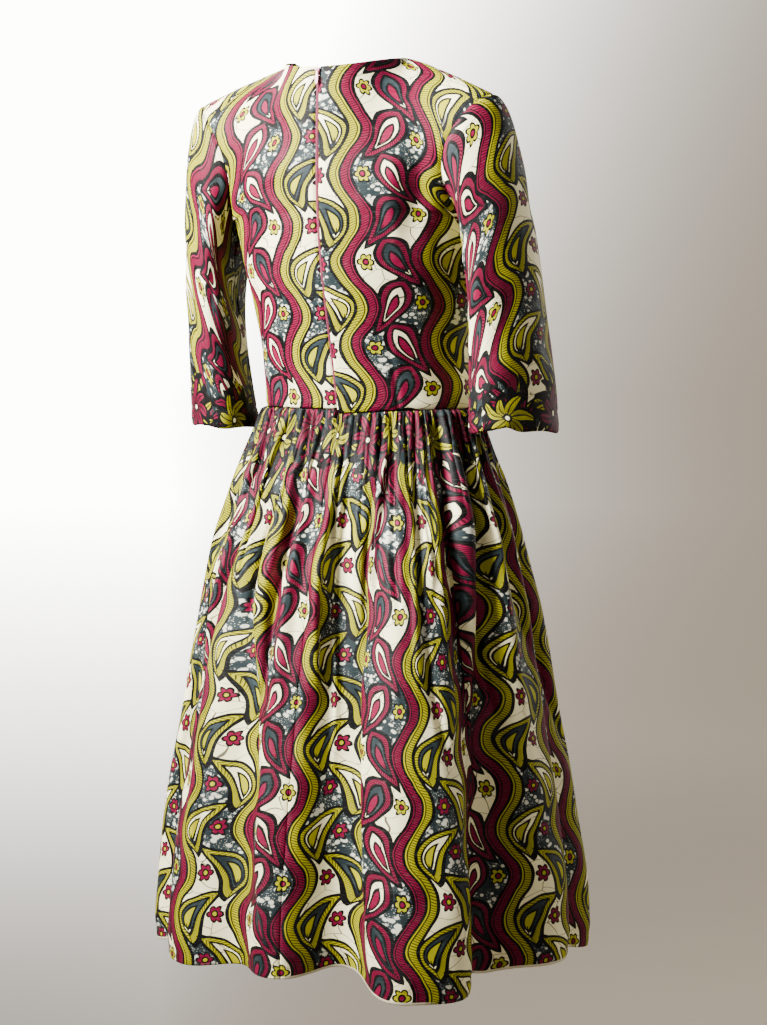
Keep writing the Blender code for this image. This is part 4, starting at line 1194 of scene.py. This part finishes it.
def makeSkirt():
    # three pieces cut from one ring of columns, gathered at the top and folding freely to the hem
    length = skirt["length"]
    near = np.array([0.0, 0.001, 0.0022, 0.0035, 0.005, 0.007, 0.0095, 0.0125, 0.016, 0.020, 0.0245, 0.0295])
    nearHem = length - np.array([0.003, 0.0015, 0.0])
    drops = np.concatenate([near, np.linspace(0.035, length - 0.006, 84), nearHem])
    columns = round(360 * skirt["columnsPerDegree"])
    turn = np.radians(np.arange(columns + 1) * 360 / columns - 180)
    angle, drop = np.meshgrid(turn, drops)
    ring, outDir = skirtPoints(angle, drop)
    hemLine = arcs(ring[-1:], axis=1)[0]
    hemLine = hemLine / hemLine[-1] * skirt["flatGirth"]
    hemLine = hemLine - np.interp(0.0, turn, hemLine)
    flat = np.stack([np.ones_like(drop) * hemLine[None], drop], axis=-1)
    # the smallest puckers at the seam are laid straight into the finer grid
    phase = hemLine * math.pi / 0.0150 + 0.9 * np.sin(hemLine * 23) + 0.7 * np.sin(hemLine * 61)
    lean = drop * (42 * np.sin(hemLine * 37 + 1.0) + 26 * np.sin(hemLine * 91))
    pucker = np.abs(np.sin(phase + lean)) - 0.6
    uneven = 0.70 + 0.40 * np.sin(hemLine * 71) + 0.35 * np.sin(hemLine * 139 + 1.3)
    pucker = pucker * np.clip(uneven, 0.12, 1.3)
    reach = np.clip(0.026 + 0.014 * np.sin(hemLine * 47 + 1.0) + 0.011 * np.sin(hemLine * 113), 0.009, 0.06)
    rise = 0.0034 * pucker * bell(drop, reach) * np.clip(drop / 0.003, 0, 1)
    rise += ripple(flat, 31, 0.11, 0.0012) * np.clip(drop / 0.05, 0, 1)
    rise += creased(flat, skirtCreases)
    edgeRise, slip = pleated(flat, skirtPleats)
    rise += edgeRise * np.clip(drop / 0.02, 0, 1)
    rise += seamDip(drop, 0.0010, 0.0016)
    toHem = length - drop
    rise += 0.0007 * bell(toHem - 0.006, 0.004) - 0.0006 * bell(toHem - 0.014, 0.002)
    across = np.roll(ring[:, :-1], -1, axis=1) - np.roll(ring[:, :-1], 1, axis=1)
    normals = unit(np.cross(across, np.gradient(ring[:, :-1], axis=0)))
    normals = np.concatenate([normals, normals[:, :1]], axis=1)
    normals = normals * np.sign(np.sum(normals * outDir, axis=-1, keepdims=True))
    onRight = (angle > -1e-6) & (angle < math.pi / 2 + 1e-6)
    lowered = waistLowering(angle / (math.pi / 2)) * bell(drop, 0.04)
    for name, node, first, last in skirt["pieces"]:
        start = round((first + 180) * skirt["columnsPerDegree"])
        stop = round((last + 180) * skirt["columnsPerDegree"])
        at = np.arange(start, stop + 1)
        wrapped = at % columns
        piece = ring[:, wrapped] + normals[:, wrapped] * rise[:, wrapped, None]
        if node == "skirt_back_right":
            piece[..., 2] -= np.where(onRight, lowered, 0)[:, wrapped]
        u = hemLine[wrapped] + np.where(at >= columns, skirt["flatGirth"], 0.0)
        fromStart, fromEnd = np.abs(u - u[0]), np.abs(u - u[-1])
        dip = (seamDip(fromStart, 0.0012, 0.003) + seamDip(fromEnd, 0.0012, 0.003))[None]
        piece = piece + normals[:, wrapped] * dip[..., None]
        flatPiece = np.stack([u[None] + slip[:, wrapped], drop[:, wrapped]], axis=-1)
        edges = np.stack([drop[:, wrapped], toHem[:, wrapped]], axis=-1)
        rowOf = np.interp(length - np.array([0.014, 0.010, 0.006, 0.0015]), drops, np.arange(len(drops)))
        flatPiece = flatPiece * (1, -1)
        hemTurn = turnUp(name + "HemTurnUp", piece, flatPiece, edges, normals[:, wrapped], rowOf, 0.0011)
        stitched = [smoothRows(grid, rowOf[:1])[0] for grid in (piece, normals[:, wrapped])]
        stitches = stitchRow(name + "HemStitches", *stitched, 0.0032)
        clothPiece(
            name, node, piece, flatPiece, edges, normals[:, wrapped], skirt["clothThickness"],
        )


skirtCreases = (
    Crease(0.060, 0.060, 0.072, 0.330, 0.0061, -0.0057),
    Crease(0.106, 0.090, 0.112, 0.300, 0.0057, -0.0049),
    Crease(0.232, 0.050, 0.262, 0.420, 0.0066, -0.0065),
    Crease(0.288, 0.110, 0.300, 0.360, 0.0057, -0.0049),
    Crease(-0.050, 0.050, -0.062, 0.360, 0.0066, -0.0065),
    Crease(-0.104, 0.070, -0.118, 0.260, 0.0053, -0.0049),
    Crease(-0.170, 0.060, -0.190, 0.400, 0.0070, -0.0068),
    Crease(-0.236, 0.080, -0.250, 0.300, 0.0057, -0.0053),
    Crease(-0.310, 0.050, -0.330, 0.420, 0.0066, -0.0061),
    Crease(0.370, 0.070, 0.392, 0.380, 0.0066, -0.0061),
    Crease(0.452, 0.050, 0.470, 0.280, 0.0057, -0.0053),
    Crease(0.560, 0.060, 0.590, 0.440, 0.0070, -0.0065),
    Crease(0.650, 0.090, 0.664, 0.300, 0.0057, -0.0049),
    Crease(0.742, 0.050, 0.770, 0.400, 0.0066, -0.0065),
    Crease(0.840, 0.070, 0.846, 0.300, 0.0061, -0.0053),
    Crease(-0.420, 0.060, -0.446, 0.380, 0.0066, -0.0061),
    Crease(-0.520, 0.080, -0.530, 0.280, 0.0057, -0.0049),
    Crease(-0.610, 0.050, -0.640, 0.420, 0.0070, -0.0065),
    Crease(-0.700, 0.070, -0.716, 0.330, 0.0061, -0.0053),
    Crease(-0.800, 0.060, -0.822, 0.400, 0.0066, -0.0061),
    Crease(0.150, 0.520, 0.215, 0.512, 0.0060, 0.0026),
    Crease(0.160, 0.536, 0.200, 0.544, 0.0060, -0.0020),
    Crease(0.205, 0.470, 0.240, 0.540, 0.0100, -0.0022),
    Crease(0.040, 0.020, 0.046, 0.190, 0.0050, -0.0055),
    Crease(0.020, 0.030, 0.022, 0.150, 0.0045, 0.0035),
    Crease(0.084, 0.015, 0.090, 0.150, 0.0048, -0.0050),
    Crease(0.130, 0.010, 0.140, 0.210, 0.0052, -0.0060),
    Crease(0.152, 0.020, 0.166, 0.160, 0.0045, 0.0035),
    Crease(0.180, 0.020, 0.190, 0.240, 0.0055, -0.0055),
    Crease(0.212, 0.015, 0.222, 0.130, 0.0045, -0.0045),
    Crease(0.256, 0.020, 0.266, 0.200, 0.0050, -0.0050),
    Crease(0.318, 0.020, 0.330, 0.240, 0.0055, -0.0060),
    Crease(0.345, 0.015, 0.352, 0.150, 0.0045, 0.0030),
    Crease(0.410, 0.015, 0.420, 0.190, 0.0050, -0.0050),
    Crease(-0.026, 0.020, -0.030, 0.200, 0.0050, -0.0060),
    Crease(-0.074, 0.015, -0.080, 0.160, 0.0045, -0.0045),
    Crease(-0.090, 0.030, -0.096, 0.240, 0.0050, 0.0035),
    Crease(-0.138, 0.015, -0.146, 0.220, 0.0052, -0.0058),
    Crease(-0.206, 0.020, -0.216, 0.200, 0.0050, -0.0052),
    Crease(-0.272, 0.015, -0.284, 0.250, 0.0055, -0.0060),
    Crease(-0.350, 0.020, -0.362, 0.180, 0.0050, -0.0048),
)
skirtPleats = (
    Pleat(0.152, 0.015, 0.124, 0.230, 0.0085, 0.026, 0.0065, 0.012),
    Pleat(0.116, 0.230, 0.128, 0.600, 0.0095, 0.028, -0.0080, 0.010),
    Pleat(0.352, 0.050, 0.335, 0.470, 0.0120, 0.032, 0.0070, 0.016),
    Pleat(-0.118, 0.110, -0.048, 0.430, 0.0085, 0.026, -0.0065, 0.014),
    Pleat(-0.044, 0.400, -0.014, 0.610, 0.0060, 0.024, -0.0070, 0.008),
    Pleat(0.018, 0.070, 0.032, 0.330, 0.0060, 0.010, 0.0045, 0.006),
    Pleat(0.046, 0.120, 0.056, 0.420, 0.0045, 0.012, -0.0045, 0.006),
    Pleat(-0.172, 0.160, -0.156, 0.560, 0.0065, 0.022, 0.0070, 0.010),
    Pleat(-0.226, 0.030, -0.214, 0.300, 0.0070, 0.018, 0.0060, 0.010),
    Pleat(0.262, 0.020, 0.244, 0.210, 0.0060, 0.018, 0.0055, 0.008),
    Pleat(0.204, 0.025, 0.214, 0.300, 0.0050, 0.016, -0.0050, 0.006),
    Pleat(0.405, 0.020, 0.416, 0.250, 0.0060, 0.018, 0.0055, 0.008),
    Pleat(0.506, 0.030, 0.528, 0.420, 0.0070, 0.022, 0.0070, 0.010),
    Pleat(0.610, 0.040, 0.618, 0.300, 0.0075, 0.024, 0.0065, 0.010),
    Pleat(0.692, 0.150, 0.704, 0.560, 0.0070, 0.022, -0.0070, 0.010),
    Pleat(0.792, 0.020, 0.806, 0.330, 0.0080, 0.024, -0.0065, 0.012),
    Pleat(-0.300, 0.120, -0.316, 0.520, 0.0080, 0.026, 0.0070, 0.012),
    Pleat(-0.398, 0.020, -0.404, 0.280, 0.0070, 0.020, -0.0060, 0.010),
    Pleat(-0.482, 0.080, -0.504, 0.460, 0.0080, 0.024, 0.0070, 0.012),
    Pleat(-0.584, 0.030, -0.592, 0.260, 0.0065, 0.020, -0.0060, 0.008),
    Pleat(-0.668, 0.140, -0.676, 0.580, 0.0080, 0.026, 0.0070, 0.012),
    Pleat(-0.762, 0.020, -0.778, 0.340, 0.0075, 0.022, -0.0065, 0.010),
)
makeSkirt()
print("skirt made")


def makeTapeMaterial():
    # woven polyester tape in a herringbone of fine ridges
    material, tree, shader = newMaterial("zipTapeWeave")
    coords = tree.nodes.new("ShaderNodeTexCoord")
    x, _, z = parts(tree, coords.outputs["Object"])
    ridge = (((x.abs() + z) * (2 * math.pi / 0.0012)).sin() * 0.5) + 0.5
    # painted shade and highlight: darker in the grooves between ridges, lighter on their tops, following the
    # ridges
    colour = painted(tree, (0.12, 0.010, 0.030), (0.22, 0.022, 0.060), ridge)
    tree.links.new(colour, shader.inputs["Base Color"])
    tree.links.new((ridge * 0.1 + 0.62).socket, shader.inputs["Roughness"])
    bumped(tree, shader, ridge.socket, 0.0002, 0.6)
    return material


def makeEnamelMaterial():
    # satin wine enamel over die-cast metal, with a painted pale pink highlight along its sharp edges, broken
    # into speckles
    material, tree, shader = newMaterial("zipEnamel")
    coords = tree.nodes.new("ShaderNodeTexCoord")
    speckle = noise(tree, coords.outputs["Object"], 2600.0, 3.0)
    cloudy = noise(tree, coords.outputs["Object"], 420.0, 2.0)
    geometry = tree.nodes.new("ShaderNodeNewGeometry")
    # painted highlight: the sharpest edges, picked out by pointiness, turn pale pink in speckles
    edge = Wire(tree, geometry.outputs["Pointiness"]).ramp(0.53, 0.60)
    colour = painted(tree, (0.42, 0.035, 0.12), (0.52, 0.06, 0.18), cloudy)
    colour = painted(tree, colour, (0.72, 0.42, 0.46), edge * speckle.ramp(0.45, 0.60) * 0.7)
    tree.links.new(colour, shader.inputs["Base Color"])
    tree.links.new((cloudy * 0.14 + 0.34).socket, shader.inputs["Roughness"])
    bumped(tree, shader, cloudy.socket, 0.0002, 0.25)
    shader.inputs["Coat Weight"].default_value = 0.15
    shader.inputs["Coat Roughness"].default_value = 0.30
    return material


zipTapeWeave = makeTapeMaterial()
zipEnamel = makeEnamelMaterial()
zipMake = {
    "belowNeck": 0.0109,
    "endDrop": 0.096,
    "underCloth": 0.0020,
    "underSkirt": 0.0045,
    "tapeHalfWidth": 0.0095,
    "lipRise": 0.0013,
    "toothPitch": 0.0013,
    "coilDepth": 0.0016,
}


def backLine(z):
    # the cloth's outer face on the centre line, from the neck to below the waist
    line = bodiceHalf(back=True)[:, 0]
    drop = np.maximum(bodice["waistZ"] - z, 0)
    skirtY = skirtPoints(np.zeros_like(drop), drop)[0][..., 1]
    return np.where(z < bodice["waistZ"], skirtY, np.interp(z, line[:, 2], line[:, 1]))


def makeZip():
    # two tapes whose rolled lips meet in the opening, and the coil's interlocking teeth behind them
    top = backSections[-1].centreZ - zipMake["belowNeck"]
    z = np.linspace(top, bodice["waistZ"] - zipMake["endDrop"], 140)
    above = np.clip((z - bodice["waistZ"]) / 0.006, 0, 1)
    inside = backLine(z) - zipMake["underSkirt"] + (zipMake["underSkirt"] - zipMake["underCloth"]) * above
    wide = zipMake["tapeHalfWidth"]
    # a tape's outline: distance from the middle, height over the tape, and share of the lip's rise
    profile = np.array([
        (wide, -0.0022, 0.0), (wide, -0.0017, 0.0), (0.0055, -0.0006, 0.0), (0.0018, 0.0, 0.0),
        (0.0011, 0.0, 0.7), (0.0007, 0.0, 1.0), (0.0002, 0.0, 0.9), (0.0002, -0.0002, 0.0),
        (0.0014, -0.0006, 0.0), (0.0055, -0.0011, 0.0),
    ])
    for side, label in ((1, "zipTapeLeft"), (-1, "zipTapeRight")):
        x = np.ones_like(z)[:, None] * profile[None, :, 0] * side
        y = inside[:, None] + profile[None, :, 1] + profile[None, :, 2] * zipMake["lipRise"] * above[:, None]
        ring = np.stack([x, y, z[:, None] * np.ones(len(profile))], axis=-1)
        rows, count = ring.shape[:2]
        number = np.arange(rows * count).reshape(rows, count)
        after = np.roll(number, -1, axis=1)
        quads = np.stack([number[:-1], after[:-1], after[1:], number[1:]], axis=-1).reshape(-1, 4)
        quads = quads if side < 0 else quads[:, ::-1]
        pointMesh(label, ring, quads, zipTapeWeave)
    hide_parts("zip_chain")
    for side, label in ((1, "zipTeethLeft"), (-1, "zipTeethRight")):
        pitch = zipMake["toothPitch"]
        toothZ = np.arange(z[-1] + 0.004, top - 0.001, pitch) + (side > 0) * pitch / 2
        toothY = np.interp(-toothZ, -z, inside) - zipMake["coilDepth"]
        path = [
            (-0.0004, 0), (0.0003, 0.0005), (0.0014, 0.0005),
            (0.0022, 0.0001), (0.0016, -0.0005), (0.0004, -0.0005),
        ]
        template, quads = bentRod([(x * side, y, 0) for x, y in path], 0.00030, 5)
        origins = np.stack([np.zeros_like(toothZ), toothY, toothZ], axis=-1)
        frames = np.broadcast_to(np.eye(3), (len(toothZ), 3, 3))
        repeated(label, template, quads, origins, frames, zipCoilNylon)


makeZip()
for name in ("zip_slider", "zip_pull"):
    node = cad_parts[name]
    if not node.material_slots:
        node.data.materials.append(zipEnamel)
    for slot in node.material_slots:
        slot.material = zipEnamel
print("zip finished")


def makeStudio():
    # a round backdrop: flat floor, a quarter bend and an upright wall, all one turned profile
    flatR, bend = studio["flatRadius"], studio["bendRadius"]
    turn = np.linspace(0, math.pi / 2, 16)
    r = np.concatenate([[0.001, 1.0, 2.0, 3.0], flatR + bend * np.sin(turn), [flatR + bend]])
    z = np.concatenate([[0, 0, 0, 0], bend * (1 - np.cos(turn)), [studio["wallHeight"]]]) + studio["floorZ"]
    angle = np.linspace(0, 2 * math.pi, 97)
    r, z = r[:, None], z[:, None]
    points = np.stack([r * np.cos(angle), r * np.sin(angle), z * np.ones_like(angle)], axis=-1)
    material, tree, shader = newMaterial("palePaper")
    coords = tree.nodes.new("ShaderNodeTexCoord")
    x, y, z = parts(tree, coords.outputs["Object"])
    upright = z.ramp(-1.41, -1.10).larger((x * x + y * y).root().ramp(1.4, 3.9))
    colour = painted(tree, studio["floor"], studio["paper"], upright)
    tree.links.new(colour, shader.inputs["Base Color"])
    # painted light: the paper itself glows in a patch standing in for daylight on it, behind the dress on
    # one side, and fades outwards
    a = math.radians(camera["azimuth"])
    beyond = x * -math.sin(a) + y * math.cos(a) + camera["distance"]
    sideways = (x * math.cos(a) + y * math.sin(a)) / beyond.larger(0.5)
    upwards = (z - camera["middle"][2]) / beyond.larger(0.5)
    slant = (upwards + 0.03).larger(0.0) * studio["glowSlant"]
    across = (sideways + studio["glowEdge"] - slant) / studio["glowFade"]
    across = across.larger(0.0).negative().reckon("EXPONENT")
    downwards = (upwards + studio["glowFoot"]).negative() / studio["glowFootFade"]
    downwards = downwards.larger(0.0).negative().reckon("EXPONENT")
    glow = across * downwards * sideways.ramp(-0.30, -0.22) * upwards.ramp(0.26, 0.20)
    glow = glow * beyond.ramp(1.0, 3.0)
    lit = painted(tree, (0.0, 0.0, 0.0), studio["wallGlow"], upright)
    lit = painted(tree, lit, (1.0, 0.98, 0.93), glow)
    tree.links.new(lit, shader.inputs["Emission Color"])
    shader.inputs["Emission Strength"].default_value = studio["glow"]
    shader.inputs["Roughness"].default_value = 0.9
    shader.inputs["Specular IOR Level"].default_value = 0.15
    zero = np.zeros(points.shape[:2] + (2,))
    inwards = np.stack([-points[..., 0], -points[..., 1], np.full(points.shape[:2], 3.0)], axis=-1)
    floor = gridMesh("studioFloor", points, zero, zero, inwards)
    for old in floor.users_collection:
        old.objects.unlink(floor)
    stageSet.objects.link(floor)
    floor.data.materials.append(material)
    material.cycles.emission_sampling = "NONE"


def aimAt(obj, target):
    # turns an object's -Z axis towards a point
    direction = Vector(target) - obj.location
    obj.rotation_euler = direction.to_track_quat("-Z", "Y").to_euler()


# Lights: places to the right, towards the camera and up from the middle, and spreads in degrees
Lamp = namedtuple("Lamp", "name right back up target size power colour spread")
lamps = (
    Lamp("softKey", -1.95, 1.05, 1.35, (0.0, -0.06, 0.05), (1.0, 1.2), 112, (1.0, 0.985, 0.95), 62),
    Lamp("paleFill", 2.4, 2.2, 0.3, (0.0, -0.06, -0.55), (2.4, 2.4), 20, (1.0, 0.97, 0.93), 180),
    Lamp("backSoft", -1.2, -2.6, 1.6, (0.0, -0.06, -0.55), (2.4, 1.8), 90, (1.0, 0.98, 0.95), 180),
    Lamp("sideSoft", 2.3, -1.5, 0.5, (0.0, -0.06, -0.55), (2.0, 2.0), 42, (1.0, 0.98, 0.95), 180),
)


def addLight(lamp, place):
    data = bpy.data.lights.new(lamp.name, "AREA")
    data.shape = "RECTANGLE"
    data.size, data.size_y = lamp.size
    data.energy = lamp.power
    data.color = lamp.colour
    data.spread = math.radians(lamp.spread)
    light = bpy.data.objects.new(lamp.name, data)
    light.location = place
    stageSet.objects.link(light)
    aimAt(light, lamp.target)


def makeLightsAndCamera():
    a, e = math.radians(camera["azimuth"]), math.radians(camera["down"])
    back = np.array([math.sin(a), -math.cos(a), 0.0])
    right = np.array([math.cos(a), math.sin(a), 0.0])
    middle = np.array(camera["middle"])
    data = bpy.data.cameras.new("photoView")
    data.lens = camera["lens"]
    data.sensor_width = 36
    data.sensor_fit = "AUTO"
    data.shift_x = camera["shiftX"]
    data.clip_end = 60
    view = bpy.data.objects.new("photoView", data)
    view.location = middle + camera["distance"] * back
    direction = np.array([-math.sin(a) * math.cos(e), math.cos(a) * math.cos(e), -math.sin(e)])
    view.rotation_euler = Vector(direction).to_track_quat("-Z", "Y").to_euler()
    bpy.context.scene.collection.objects.link(view)
    bpy.context.scene.camera = view
    for lamp in lamps:
        addLight(lamp, middle + lamp.right * right + lamp.back * back + (0, 0, lamp.up))
    world = bpy.data.worlds.new("studioAir")
    world.use_nodes = True
    world.node_tree.nodes["Background"].inputs["Color"].default_value = (1.0, 0.99, 0.97, 1)
    world.node_tree.nodes["Background"].inputs["Strength"].default_value = studio["skyStrength"]
    bpy.context.scene.world = world


makeStudio()
makeLightsAndCamera()
print("studio made")
